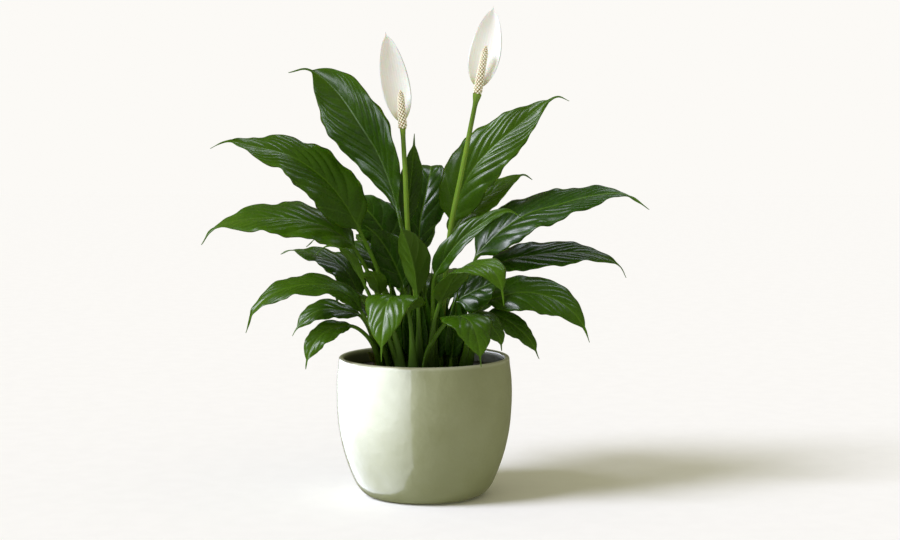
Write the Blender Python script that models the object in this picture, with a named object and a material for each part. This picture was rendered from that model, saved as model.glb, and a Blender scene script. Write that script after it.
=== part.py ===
"""Peace lily growing in a round glazed pot.

Metres, +Z up.  The origin is the centre of the pot's underside and the plant's front looks along -Y.
A leaf is one solid, its stalk and blade together, lofted along a smooth curve through a few points
that run from its root in the soil, over its collar where the blade begins, to its drip tip.
Lengths below are in millimetres and become metres when a mesh is made.
"""

import math
from collections import namedtuple

import bpy
from mathutils import Vector

MM = 0.001
GAP = 0.3

# Pot: radius and height of the points that its turned outline passes through.
POT_HEIGHT = 140.0
POT_WALL = 5.5
POT_FLOOR = 9.0
POT_SEGMENTS = 48
SOIL_SEGMENTS = 32
POT_OUTSIDE = ((56.0, 0.0), (61.5, 2.6), (68.0, 10.0), (75.0, 25.0), (81.3, 44.0), (86.0, 66.0),
               (88.3, 92.0), (88.1, 116.0), (86.3, 134.0))
POT_LIP_RADIUS = 83.5

# Soil: it fills the pot to a little below the rim and is heaped towards the plant.
SOIL_EDGE = 126.0
SOIL_TOP = 129.0
ROOT_Z = 112.0
SOCKET_GAP = 0.35

# Leaf section.
STALK_BASE_RADIUS = 2.9
STALK_TOP_RADIUS = 1.8
BLADE_THICKNESS = 0.9
RIB_DEPTH = 1.1
DRIP_TIP = 0.12          # share of the blade's length that is only the thin tip
DRIP_TIP_RADIUS = 1.5
BLUNTNESS = 0.85         # how fast the blade narrows to its drip tip: 1 is straight
STALK_STATIONS = (0.0, 0.3, 0.53, 0.77, 1.0)
BLADE_STATIONS = (0.03, 0.08, 0.14, 0.21, 0.29, 0.37, 0.45, 0.53, 0.61, 0.69, 0.77, 0.83, 0.88, 0.94)

Leaf = namedtuple("Leaf", "name root collar ribs width peak base_face tip_face fold ripple waves")

# Each leaf: root on the soil (x, y), points up the stalk with the collar last, points along the
# midrib with the tip last, blade width and where along the blade it is widest, the way its upper
# side looks at the base and at the tip, how far its halves fold up in degrees, and the height and
# number of the waves along its margin.
LEAVES = (
    # tall leaves
    Leaf("leaf_tall_left", (-6, 10), ((-13, 15, 195), (-25, 14, 278)),
         ((-43, 8, 337), (-62, 2, 370), (-89, -4, 408), (-115, -8, 427), (-134, -10, 424)),
         72, 0.6, (-0.65, -0.8, -0.05), (-0.5, -0.85, 0.3), 24, 2.0, 3.5),
    Leaf("leaf_tall_right", (14, 14), ((20, 16, 190), (28, 14, 270)),
         ((44, 12, 320), (66, 10, 347), (96, 8, 373), (121, 6, 394), (134, 5, 400), (145, 4, 396)),
         57, 0.42, (-0.1, -0.85, 0.5), (-0.1, -0.85, 0.5), 15, 2.0, 4.0),
    Leaf("leaf_back_bud", (0, 16), ((-6, 22, 190), (-18, 25, 268)),
         ((-16, 26, 296), (-13, 27, 322), (-11, 28, 345), (-10, 28, 363)),
         26, 0.5, (0.3, -0.95, 0.1), (0.3, -0.95, 0.1), 20, 0.8, 3.0),
    Leaf("leaf_back_dark", (6, 22), ((2, 34, 190), (-5, 45, 244)),
         ((-5, 52, 270), (1, 60, 300), (5, 72, 320), (6, 88, 328), (6, 112, 318)),
         48, 0.5, (0.0, -0.8, 0.6), (0.0, -0.8, 0.6), 14, 1.6, 3.0),
    Leaf("leaf_shade_left", (-4, 24), ((-12, 28, 190), (-35, 30, 247)),
         ((-43, 33, 265), (-54, 36, 280), (-66, 40, 291), (-82, 46, 298)),
         46, 0.45, (-0.1, -0.9, 0.4), (-0.1, -0.9, 0.4), 14, 1.6, 3.0),
    # arching leaves on the left
    Leaf("leaf_upper_left", (-22, 0), ((-34, -9, 180), (-46, -15, 228), (-63, -18, 266)),
         ((-79, -21, 296), (-100, -25, 321), (-131, -30, 342), (-168, -35, 352), (-193, -39, 357),
          (-208, -42, 350)),
         68, 0.42, (0.0, -0.6, 0.8), (0.0, -0.6, 0.8), 14, 2.2, 4.5),
    Leaf("leaf_middle_left", (-28, -6), ((-42, -10, 190), (-68, -14, 248)),
         ((-84, -17, 265), (-110, -20, 276), (-157, -27, 281), (-194, -32, 276), (-210, -34, 268),
          (-219, -35, 255)),
         64, 0.42, (0.0, -0.5, 0.87), (0.0, -0.5, 0.87), 12, 2.0, 4.0),
    Leaf("leaf_under_left", (-20, 8), ((-32, 12, 160), (-63, 14, 197)),
         ((-80, 16, 226), (-100, 18, 238), (-120, 20, 243), (-136, 22, 245), (-146, 23, 241)),
         42, 0.42, (0.0, -0.4, 0.9), (0.0, -0.4, 0.9), 12, 1.6, 3.5),
    Leaf("leaf_narrow_left", (-20, -16), ((-34, -30, 160), (-56, -42, 212)),
         ((-67, -50, 236), (-75, -62, 250), (-88, -72, 257), (-97, -78, 255), (-103, -80, 249)),
         24, 0.45, (0.3, 0.05, 0.95), (0.3, 0.05, 0.95), 16, 0.8, 3.0),
    Leaf("leaf_inner_left", (-20, -25), ((-29, -31, 165), (-43, -39, 206)),
         ((-46, -55, 223), (-50, -70, 231), (-54, -86, 235)),
         22, 0.45, (0.1, 0.5, 0.85), (0.1, 0.5, 0.85), 12, 1.0, 2.5),
    Leaf("leaf_lower_left", (-30, -12), ((-40, -20, 150), (-60, -34, 186)),
         ((-70, -38, 202), (-91, -44, 215), (-120, -52, 217), (-148, -58, 208), (-165, -61, 193),
          (-173, -63, 171)),
         40, 0.45, (0.0, -0.45, 0.9), (0.0, -0.45, 0.9), 12, 1.8, 4.0),
    Leaf("leaf_small_left", (-36, -2), ((-46, -6, 142), (-63, -10, 181)),
         ((-83, -14, 188), (-103, -18, 189), (-118, -21, 180), (-127, -22, 170), (-131, -23, 163)),
         29, 0.5, (0.0, -0.6, 0.8), (0.0, -0.6, 0.8), 12, 1.2, 3.0),
    Leaf("leaf_lowest_left", (-38, -14), ((-50, -22, 153), (-60, -28, 167), (-70, -34, 174)),
         ((-83, -42, 175), (-97, -50, 170), (-107, -56, 160), (-113, -60, 147), (-115, -61, 135)),
         25, 0.5, (-0.1, -0.75, 0.65), (-0.1, -0.75, 0.65), 12, 1.4, 3.0),
    Leaf("leaf_hidden_left", (-12, 14), ((-22, 20, 170), (-40, 26, 220)),
         ((-50, 29, 234), (-63, 33, 245), (-76, 38, 250), (-91, 43, 250)),
         32, 0.45, (0.0, -0.5, 0.85), (0.0, -0.5, 0.85), 12, 1.2, 3.0),
    Leaf("leaf_shaded_middle", (-12, -6), ((-16, -3, 160), (-20, 0, 207)),
         ((-26, 3, 225), (-36, 5, 245), (-48, 5, 262), (-60, 4, 272)),
         36, 0.45, (-0.2, -0.9, 0.3), (-0.2, -0.9, 0.3), 14, 1.2, 3.0),
    # leaves that hang forward
    Leaf("leaf_front_left", (-10, -29), ((-11, -33, 150), (-15, -38, 188)),
         ((-24, -58, 206), (-33, -80, 205), (-38, -94, 182), (-39.5, -101, 164), (-39.5, -104, 148.5)),
         54, 0.36, (-0.2, -0.35, 0.93), (-0.05, -0.35, 0.95), 10, 1.2, 3.0),
    Leaf("leaf_front_upright", (-4, -22), ((-5, -28, 174), (-6, -32, 204)),
         ((-9, -36, 231), (-15, -38, 253), (-21, -39, 270), (-24, -40, 280)),
         43, 0.52, (0.1, 1.0, 0.3), (0.1, 1.0, 0.3), 25, 0.8, 2.0),
    Leaf("leaf_front_right", (-1, -38), ((4, -44, 150), (11, -48, 164), (19, -51, 176), (27.5, -54, 184)),
         ((37, -72, 188.5), (46.5, -87, 183.5), (52.5, -95, 168), (56, -101, 143)),
         48, 0.38, (0.15, -0.4, 0.9), (0.15, -0.4, 0.9), 10, 1.2, 3.0),
    Leaf("leaf_front_draped", (6, -28), ((9, -38, 170), (15.5, -46, 197.5)),
         ((24.5, -56, 217), (35, -68, 233), (52, -82, 240), (67, -92, 235), (75, -97, 219),
          (77.5, -99, 201.5)),
         50, 0.42, (-0.1, 0.1, 1.0), (0.0, -0.6, 0.8), 10, 1.2, 3.0),
    # arching leaves on the right
    Leaf("leaf_behind_tall_right", (18, 22), ((20, 26, 185), (26, 30, 257)),
         ((41, 33, 281), (58, 35, 295), (79, 36, 310), (94, 37, 319), (101, 37, 321), (110, 38, 316)),
         38, 0.45, (0.0, -0.6, 0.8), (0.0, -0.6, 0.8), 12, 1.2, 3.0),
    Leaf("leaf_slim_right", (10, -14), ((9, -22, 180), (11, -27, 222)),
         ((23, -30, 243), (38, -32, 261), (56, -34, 275), (72, -35, 285), (84, -36, 288), (100, -37, 280)),
         38, 0.34, (-0.1, -0.75, 0.65), (-0.1, -0.75, 0.65), 14, 1.2, 3.0),
    Leaf("leaf_upper_right", (32, 6), ((40, 6, 180), (52, 6, 238)),
         ((64, 6, 254), (81, 5, 269), (106, 4, 284), (136, 2, 293), (166, 0, 301), (201, -3, 303),
          (225, -6, 288)),
         58, 0.45, (0.0, -0.55, 0.83), (0.0, -0.55, 0.83), 12, 2.2, 4.5),
    Leaf("leaf_middle_right", (34, 14), ((44, 15, 170), (66, 16, 224)),
         ((81, 17, 235), (107, 18, 240), (137, 19, 243), (167, 20, 242), (187, 20, 236), (199, 20, 228),
          (205, 20, 217)),
         41, 0.36, (0.0, -0.6, 0.8), (0.0, -0.6, 0.8), 10, 1.6, 3.5),
    Leaf("leaf_broad_right", (38, -6), ((46, -9, 160), (60, -12, 194)),
         ((81, -14, 203), (105, -16, 206), (131, -18, 199), (150, -20, 185), (160, -21, 170),
          (165, -22, 156.5)),
         50, 0.42, (0.0, -0.65, 0.75), (0.0, -0.65, 0.75), 10, 1.4, 3.0),
    Leaf("leaf_small_right", (40, -14), ((48, -17, 148), (62, -18, 184)),
         ((78.5, -20, 181), (93, -21, 171), (106, -22, 158), (115, -23, 140)),
         27, 0.42, (0.2, -0.7, 0.7), (0.2, -0.7, 0.7), 10, 1.2, 3.0),
    Leaf("leaf_short_right", (34, -20), ((42, -30, 150), (47.5, -38, 184)),
         ((61, -41, 181), (71, -43, 170), (76, -44, 160), (77, -45, 151)),
         30, 0.4, (0.3, -0.6, 0.75), (0.3, -0.6, 0.75), 10, 1.0, 3.0),
    Leaf("leaf_shaded_right", (26, -8), ((28, -14, 160), (31, -20, 196)),
         ((44, -22, 205), (58, -24, 212), (70, -25, 217), (81, -26, 217)),
         34, 0.42, (0.0, -0.5, 0.85), (0.0, -0.5, 0.85), 12, 1.2, 3.0),
    # leaves on the far side
    Leaf("leaf_rear_high", (0, 30), ((-3, 45, 190), (-8, 62, 235)),
         ((-12, 85, 270), (-14, 110, 286), (-16, 140, 285), (-18, 165, 262), (-19, 174, 246)),
         52, 0.42, (0.0, 0.3, 1.0), (0.0, 0.3, 1.0), 12, 1.8, 4.0),
    Leaf("leaf_rear_left_high", (-14, 30), ((-20, 48, 180), (-32, 75, 226)),
         ((-44, 105, 244), (-55, 132, 252), (-66, 155, 246), (-75, 172, 228)),
         50, 0.42, (-0.1, 0.3, 1.0), (-0.1, 0.3, 1.0), 12, 1.8, 4.0),
    Leaf("leaf_rear_left", (-14, 22), ((-26, 38, 165), (-50, 62, 218)),
         ((-78, 88, 244), (-98, 106, 252), (-116, 120, 250), (-128, 130, 240)),
         42, 0.42, (0.0, 0.1, 1.0), (0.0, 0.1, 1.0), 12, 1.6, 4.0),
    Leaf("leaf_rear_left_low", (-24, 14), ((-36, 26, 145), (-52, 40, 172)),
         ((-66, 54, 190), (-80, 68, 197), (-90, 78, 192), (-96, 84, 180)),
         36, 0.42, (0.0, 0.1, 1.0), (0.0, 0.1, 1.0), 12, 1.2, 3.0),
    Leaf("leaf_rear_low", (-6, 36), ((-7, 52, 150), (-9, 72, 182)),
         ((-11, 95, 205), (-13, 118, 212), (-15, 142, 200), (-17, 158, 176)),
         46, 0.42, (0.0, 0.3, 1.0), (0.0, 0.3, 1.0), 12, 1.6, 3.5),
    Leaf("leaf_rear_right", (12, 30), ((16, 48, 155), (24, 74, 188)),
         ((34, 104, 210), (42, 132, 216), (50, 158, 204), (55, 174, 182)),
         48, 0.42, (0.0, 0.3, 1.0), (0.0, 0.3, 1.0), 12, 1.6, 4.0),
    Leaf("leaf_rear_right_low", (26, 22), ((34, 36, 145), (48, 56, 172)),
         ((66, 80, 196), (84, 100, 204), (104, 118, 198), (118, 130, 180)),
         44, 0.42, (0.1, 0.2, 1.0), (0.1, 0.2, 1.0), 12, 1.4, 3.5),
)

# Dry sheath of a leaf that has gone.
OLD_SHEATH = Leaf("old_sheath", (-44, 4), ((-46, 3, 124), (-49, 2, 133)),
                  ((-51, 1, 137), (-54, 0, 141), (-57, -1, 144)),
                  9, 0.42, (0.5, -0.8, 0.2), (0.5, -0.8, 0.2), 20, 0.2, 1.0)

Flower = namedtuple("Flower", "name root stem spadix_top spathe width face")

# Each flower: root on the soil, points up its stem with the top last, the spadix's tip, points up
# the middle of the spathe, the spathe's width and the way its inner side looks.
FLOWERS = (
    Flower("left", (-1, -6), ((-8, -8, 200), (-16, -9, 268), (-18.5, -9, 322), (-21, -9, 369)),
           (-23, -9.5, 406),
           ((-22, -4.6, 375), (-25, -1, 392), (-30, 1, 418), (-35, -1, 446), (-38, -5, 464)),
           42, (0.15, -1.0, 0.1)),
    Flower("right", (14, -4), ((20, -10, 200), (27, -12, 272), (38, -13, 327), (46, -13, 368),
                               (53, -13, 403)),
           (61.5, -13.5, 450),
           ((54, -8.4, 409), (58, -5, 428), (63, -3, 452), (67, -5, 474), (69, -9, 489)),
           46, (-0.1, -1.0, 0.1)),
)
STEM_BASE_RADIUS = 3.0
STEM_TOP_RADIUS = 2.3
STEM_SIDES = 8
STEM_STATIONS = (0.0, 0.09, 0.2, 0.32, 0.44, 0.56, 0.68, 0.79, 0.9, 1.0)
SPADIX_RADIUS = 4.3
SPADIX_SIDES = 12
SPATHE_THICKNESS = 0.9


def material(name, colour, roughness, metallic=0.0):
    """A plain Principled material."""
    made = bpy.data.materials.new(name)
    made.use_nodes = True
    shader = made.node_tree.nodes["Principled BSDF"]
    shader.inputs["Base Color"].default_value = (*colour, 1.0)
    shader.inputs["Roughness"].default_value = roughness
    shader.inputs["Metallic"].default_value = metallic
    return made


def add_object(name, points, faces, surface):
    """Make a mesh object from points in millimetres."""
    mesh = bpy.data.meshes.new(name)
    mesh.from_pydata([tuple(Vector(point) * MM) for point in points], [], faces)
    mesh.materials.append(surface)
    mesh.shade_smooth()
    mesh.set_sharp_from_angle(angle=math.radians(40))
    made = bpy.data.objects.new(name, mesh)
    bpy.context.scene.collection.objects.link(made)
    return made


def blend(low, high, value):
    """Smooth step from 0 at low to 1 at high."""
    share = min(max((value - low) / (high - low), 0.0), 1.0)
    return share * share * (3.0 - 2.0 * share)


def spline(points, steps=10):
    """Points along a centripetal Catmull-Rom curve, and the index of each given point."""
    points = [Vector(point) for point in points]
    ends = [2 * points[0] - points[1], *points, 2 * points[-1] - points[-2]]
    curve = []
    for index in range(1, len(ends) - 2):
        a, b, c, d = ends[index - 1:index + 3]
        t1 = (b - a).length ** 0.5
        t2 = t1 + (c - b).length ** 0.5
        t3 = t2 + (d - c).length ** 0.5
        for step in range(steps):
            t = t1 + (t2 - t1) * step / steps
            ab = a * ((t1 - t) / t1) + b * (t / t1)
            bc = b * ((t2 - t) / (t2 - t1)) + c * ((t - t1) / (t2 - t1))
            cd = c * ((t3 - t) / (t3 - t2)) + d * ((t - t2) / (t3 - t2))
            abc = ab * ((t2 - t) / t2) + bc * (t / t2)
            bcd = bc * ((t3 - t) / (t3 - t1)) + cd * ((t - t1) / (t3 - t1))
            curve.append(abc * ((t2 - t) / (t2 - t1)) + bcd * ((t - t1) / (t2 - t1)))
    curve.append(points[-1])
    return curve, [steps * index for index in range(len(points))]


def lengths_along(curve):
    """Running length at each point of a curve."""
    total = [0.0]
    for before, after in zip(curve, curve[1:]):
        total.append(total[-1] + (after - before).length)
    return total


def place_on(curve, total, distance):
    """Point and direction at a distance along a curve."""
    index = 1
    while index < len(curve) - 1 and total[index] < distance:
        index += 1
    share = (distance - total[index - 1]) / (total[index] - total[index - 1])
    before = curve[max(index - 2, 0)]
    after = curve[min(index + 1, len(curve) - 1)]
    return curve[index - 1].lerp(curve[index], share), (after - before).normalized()


def upright(direction, face):
    """The part of face that is square to direction, as a unit vector."""
    face = Vector(face)
    return (face - face.dot(direction) * direction).normalized()


def loft(rings, end_point):
    """Closed mesh through rings of equal count that ends in a point.

    The diagonals under the second half of a ring lie below those of the first, so thin walls don't cross.
    """
    count = len(rings[0])
    points = [point for ring in rings for point in ring]
    faces = [tuple(reversed(range(count)))]
    for row in range(len(rings) - 1):
        for side in range(count):
            a = row * count + side
            b = row * count + (side + 1) % count
            c = b + count
            d = a + count
            faces += [(a, b, c), (a, c, d)] if side < count // 2 else [(a, b, d), (b, c, d)]
    last = (len(rings) - 1) * count
    points.append(end_point)
    for side in range(count):
        faces.append((last + side, last + (side + 1) % count, len(points) - 1))
    return points, faces


def leaf_path(leaf):
    """Curve of a leaf from root to tip, its running length and where its collar is."""
    points = [(*leaf.root, ROOT_Z), *leaf.collar, *leaf.ribs]
    curve, marks = spline(points)
    total = lengths_along(curve)
    return curve, total, total[marks[len(leaf.collar)]]


def stalk_radius(share):
    """Radius of a stalk, share 0 at the root and 1 at the collar."""
    return STALK_BASE_RADIUS + (STALK_TOP_RADIUS - STALK_BASE_RADIUS) * share


def blade_outline(peak, share):
    """Half width of a blade over its greatest half width, without its drip tip."""
    body = min(share / (1.0 - DRIP_TIP), 1.0)
    rise = BLUNTNESS * peak / (1.0 - peak)
    return (body / peak) ** rise * ((1.0 - body) / (1.0 - peak)) ** BLUNTNESS


def stalk_section(radius):
    """Eight points round a stalk, as offsets to the side and up."""
    angles = (180, 135, 90, 45, 0, -45, -90, -135)
    return [(radius * math.cos(math.radians(a)), radius * math.sin(math.radians(a))) for a in angles]


def blade_section(leaf, share):
    """Eight points round a blade: five across its top and three below, as offsets to the side and up."""
    drip = DRIP_TIP_RADIUS * min((1.0 - share) / DRIP_TIP, 1.0)
    half = math.hypot(leaf.width / 2 * blade_outline(leaf.peak, share), drip)
    fold = math.radians(leaf.fold)
    wave = leaf.ripple * math.sin(math.pi * share) ** 0.5
    rib = RIB_DEPTH * (1.0 - share)

    def lift(across):
        phase = 2 * math.pi * leaf.waves * share + (0.0 if across > 0 else 1.9)
        droop = 0.22 * half * across * across
        return half * abs(across) * math.sin(fold) - droop + wave * across * across * math.sin(phase)

    points = []
    for across in (-1.0, -0.5, 0.0, 0.5, 1.0):
        top = BLADE_THICKNESS / 2 * (1.0 - abs(across) ** 4)
        points.append((half * across * math.cos(fold), lift(across) + top))
    for across in (0.5, 0.0, -0.5):
        below = BLADE_THICKNESS / 2 + rib * (across == 0.0)
        points.append((half * across * math.cos(fold), lift(across) - below))
    return points


def leaf_rings(leaf, stalk_stations, blade_stations, extra=0.0):
    """Rings of a leaf from root to tip; extra is added to the stalk's radius."""
    curve, total, collar = leaf_path(leaf)
    blade = total[-1] - collar
    stations = [share * collar for share in stalk_stations]
    stations += [collar + share * blade for share in blade_stations]
    rings = []
    collar_up = upright(place_on(curve, total, collar)[1], leaf.base_face)
    for distance in stations:
        centre, direction = place_on(curve, total, distance)
        share = max((distance - collar) / blade, 0.0)
        face = Vector(leaf.base_face).lerp(Vector(leaf.tip_face), share)
        up = upright(direction, face if share > 0.0 else collar_up)
        side = direction.cross(up)
        round_part = stalk_section(stalk_radius(min(distance / collar, 1.0)) + extra)
        if share > 0.0:
            flat = blend(0.0, 0.1, share)
            section = [Vector(a).lerp(Vector(b), flat)
                       for a, b in zip(round_part, blade_section(leaf, share))]
        else:
            section = round_part
        rings.append([centre + side * offset[0] + up * offset[1] for offset in section])
    return rings, curve[-1]


def make_leaf(leaf, surface):
    """One leaf with its stalk."""
    rings, tip = leaf_rings(leaf, STALK_STATIONS, BLADE_STATIONS)
    return add_object(leaf.name, *loft(rings, tip), surface)


def tube_rings(curve, total, stations, radius_at, sides):
    """Round rings along a curve."""
    rings = []
    for share in stations:
        centre, direction = place_on(curve, total, share * total[-1])
        up = upright(direction, (0.0, -1.0, 0.0))
        side = direction.cross(up)
        radius = radius_at(share)
        angles = [math.pi - 2 * math.pi * step / sides for step in range(sides)]
        rings.append([centre + side * radius * math.cos(a) + up * radius * math.sin(a) for a in angles])
    return rings


def capped(rings):
    """Closed mesh through rings of equal count with a flat end."""
    points, faces = loft(rings, rings[-1][0])
    count = len(rings[0])
    last = (len(rings) - 1) * count
    return points[:-1], faces[:-count] + [tuple(range(last, last + count))]


def stem_radius(share):
    """Radius of a flower stem, share 0 at the root and 1 at the top."""
    return STEM_BASE_RADIUS + (STEM_TOP_RADIUS - STEM_BASE_RADIUS) * share


def flower_stem_path(flower):
    """Curve of a flower stem and its running length."""
    curve, _ = spline([(*flower.root, ROOT_Z), *flower.stem])
    return curve, lengths_along(curve)


def make_flower_stem(flower, surface):
    """The stem of one flower."""
    curve, total = flower_stem_path(flower)
    rings = tube_rings(curve, total, STEM_STATIONS, stem_radius, STEM_SIDES)
    return add_object(f"flower_stem_{flower.name}", *capped(rings), surface)


def spadix_radius(share):
    """Radius of a spadix: a short bare foot, then a blunt finger."""
    if share < 0.06:
        return STEM_TOP_RADIUS - 0.3
    return SPADIX_RADIUS * (1.0 - 0.28 * share) * math.cos(1.2 * blend(0.8, 1.1, share))


def make_spadix(flower, surface):
    """The spadix of one flower, standing on its stem."""
    foot = Vector(flower.stem[-1])
    top = Vector(flower.spadix_top)
    foot += (top - foot).normalized() * GAP
    curve = [foot.lerp(top, step / 10) for step in range(11)]
    stations = (0.0, 0.05, 0.09, 0.25, 0.45, 0.65, 0.8, 0.9, 0.96)
    rings = tube_rings(curve, lengths_along(curve), stations, spadix_radius, SPADIX_SIDES)
    return add_object(f"spadix_{flower.name}", *loft(rings, top), surface)


def spathe_section(flower, share):
    """Eight points round a spathe, which is hollowed towards its inner side."""
    half = flower.width / 2 * max(1.7 * share ** 0.55 * (1.0 - share) ** 0.8, 0.08)
    points = []
    for across in (-1.0, -0.5, 0.0, 0.5, 1.0):
        lift = 0.34 * half * across * across
        points.append((half * across, lift + SPATHE_THICKNESS / 2 * (1.0 - abs(across) ** 4)))
    for across in (0.5, 0.0, -0.5):
        points.append((half * across, 0.34 * half * across * across - SPATHE_THICKNESS / 2))
    return points


def make_spathe(flower, surface):
    """The spathe of one flower, a hollowed bract behind its spadix."""
    curve, _ = spline(flower.spathe)
    total = lengths_along(curve)
    rings = []
    for share in (0.0, 0.06, 0.14, 0.24, 0.34, 0.44, 0.54, 0.64, 0.74, 0.84, 0.92):
        centre, direction = place_on(curve, total, share * total[-1])
        up = upright(direction, flower.face)
        side = direction.cross(up)
        rings.append([centre + side * across + up * lift
                      for across, lift in spathe_section(flower, share)])
    return add_object(f"spathe_{flower.name}", *loft(rings, curve[-1]), surface)


def turned(name, outline, count, surface):
    """Closed solid turned about Z from an outline that starts and ends on the axis."""
    rings = []
    for radius, height in outline[1:-1]:
        angles = [2 * math.pi * step / count for step in range(count)]
        rings.append([(radius * math.cos(a), radius * math.sin(a), height) for a in angles])
    points = [point for ring in rings for point in ring]
    faces = [tuple(reversed(range(count)))]
    for row in range(len(rings) - 1):
        for side in range(count):
            after = (side + 1) % count
            faces.append((row * count + side, row * count + after,
                          (row + 1) * count + after, (row + 1) * count + side))
    last = (len(rings) - 1) * count
    faces.append(tuple(range(last, last + count)))
    return add_object(name, points, faces, surface)


def pot_outside():
    """Outline of the pot's outside, from the foot up."""
    curve, _ = spline([(radius, 0.0, height) for radius, height in POT_OUTSIDE], steps=2)
    return [(point.x, point.z) for point in curve]


def inside_radius(height):
    """Radius of the pot's cavity at a height."""
    outside = pot_outside()
    for (low_r, low_z), (high_r, high_z) in zip(outside, outside[1:]):
        if low_z <= height <= high_z:
            return low_r + (high_r - low_r) * (height - low_z) / (high_z - low_z) - POT_WALL
    return outside[-1][0] - POT_WALL


def make_pot(surface):
    """Turned pot: flat foot, full belly, wall that draws in to a rounded lip."""
    outline = [(0.0, 0.0), *pot_outside()]
    lip = (POT_WALL - 0.3) / 2
    for step in range(1, 6):
        angle = math.pi * step / 6
        outline.append((POT_LIP_RADIUS + lip * math.cos(angle),
                        POT_HEIGHT - lip + lip * math.sin(angle)))
    for height in (126.0, 105.0, 80.0, 55.0, 35.0, 20.0):
        outline.append((inside_radius(height), height))
    outline += [(inside_radius(14.0) - 2.0, 12.0), (inside_radius(12.0) - 8.0, POT_FLOOR), (0.0, POT_FLOOR)]
    return turned("pot", outline, POT_SEGMENTS, surface)


def make_soil(surface):
    """Soil that fills the pot, heaped in the middle."""
    outline = [(0.0, POT_FLOOR + GAP), (inside_radius(12.0) - 8.5, POT_FLOOR + GAP),
               (inside_radius(14.0) - 2.5, 12.3)]
    for height in (20.0, 35.0, 55.0, 80.0, 105.0, SOIL_EDGE):
        outline.append((inside_radius(height) - 0.5, height))
    outline += [(62.0, SOIL_TOP - 0.8), (46.0, SOIL_TOP), (0.0, SOIL_TOP)]
    return turned("soil", outline, SOIL_SEGMENTS, surface)


def cut_sockets(soil, surface):
    """Cut a close socket in the soil for every stalk and stem."""
    points = []
    faces = []
    for leaf in LEAVES:
        rings, _ = leaf_rings(leaf, (-0.005, STALK_STATIONS[1]), (), SOCKET_GAP)
        add_prism(points, faces, rings)
    rings, _ = leaf_rings(OLD_SHEATH, (-0.02, *STALK_STATIONS[1:]), (), SOCKET_GAP)
    add_prism(points, faces, rings)
    for flower in FLOWERS:
        curve, total = flower_stem_path(flower)
        rings = tube_rings(curve, total, (-0.002, STEM_STATIONS[1]),
                           lambda share: stem_radius(share) + SOCKET_GAP, STEM_SIDES)
        add_prism(points, faces, rings)
    cutter = add_object("socket_cutter", points, faces, surface)
    cutter.hide_render = True
    cutter.display_type = "WIRE"
    cut = soil.modifiers.new("sockets", "BOOLEAN")
    cut.operation = "DIFFERENCE"
    cut.solver = "EXACT"
    cut.use_self = True
    cut.object = cutter


def add_prism(points, faces, rings):
    """Add one closed body through rings to lists of points and faces."""
    body_points, body_faces = capped(rings)
    start = len(points)
    points.extend(body_points)
    faces.extend([tuple(corner + start for corner in face) for face in body_faces])


def main():
    """Build the pot, the soil and the plant."""
    for old in list(bpy.data.objects):
        bpy.data.objects.remove(old, do_unlink=True)
    glaze = material("sage_glaze", (0.42, 0.45, 0.30), 0.15)
    earth = material("potting_soil", (0.03, 0.02, 0.012), 0.95)
    green = material("leaf_green", (0.02, 0.07, 0.01), 0.35)
    stem_green = material("stem_green", (0.18, 0.34, 0.05), 0.4)
    cream = material("spadix_cream", (0.80, 0.72, 0.45), 0.7)
    white = material("spathe_white", (0.90, 0.90, 0.84), 0.5)
    straw = material("dry_sheath", (0.35, 0.36, 0.06), 0.6)
    make_pot(glaze)
    soil = make_soil(earth)
    cut_sockets(soil, earth)
    for leaf in LEAVES:
        make_leaf(leaf, green)
    make_leaf(OLD_SHEATH, straw)
    for flower in FLOWERS:
        make_flower_stem(flower, stem_green)
        make_spadix(flower, cream)
        make_spathe(flower, white)


main()
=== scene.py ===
"""Potted peace lily: the looks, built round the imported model.

Metres, +Z up, the origin in the middle of the pot's underside, the plant's front towards -Y.
"""

import math
from collections import namedtuple

import bpy
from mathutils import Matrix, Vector


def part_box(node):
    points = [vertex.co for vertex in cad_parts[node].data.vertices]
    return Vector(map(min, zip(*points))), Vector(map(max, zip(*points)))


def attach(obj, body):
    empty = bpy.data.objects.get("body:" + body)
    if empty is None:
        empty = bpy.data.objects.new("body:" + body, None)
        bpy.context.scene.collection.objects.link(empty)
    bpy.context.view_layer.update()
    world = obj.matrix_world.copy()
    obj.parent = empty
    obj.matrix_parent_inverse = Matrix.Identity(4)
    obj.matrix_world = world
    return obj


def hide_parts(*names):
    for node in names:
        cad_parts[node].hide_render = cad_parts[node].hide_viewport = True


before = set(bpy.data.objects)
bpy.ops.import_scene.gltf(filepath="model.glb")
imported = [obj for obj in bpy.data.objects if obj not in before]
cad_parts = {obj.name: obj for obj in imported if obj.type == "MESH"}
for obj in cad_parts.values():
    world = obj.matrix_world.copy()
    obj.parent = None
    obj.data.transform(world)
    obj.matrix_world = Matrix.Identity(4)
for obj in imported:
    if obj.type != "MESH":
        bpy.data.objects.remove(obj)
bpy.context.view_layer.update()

# --- Pot -------------------------------------------------------------------------------------------
# A round stoneware pot under a glossy sage-green glaze.  It is thrown on a wheel, so its wall is
# very slightly uneven, and the glaze runs thinner over the lip and pools in the shallow rings.

MM = 0.001
POT_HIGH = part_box("pot")[1]
POT_RADIUS = POT_HIGH[0]
POT_HEIGHT = POT_HIGH[2]
POT_WALL = 5.5 * MM
POT_FLOOR = 9.0 * MM
POT_SIDES = 144
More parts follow.
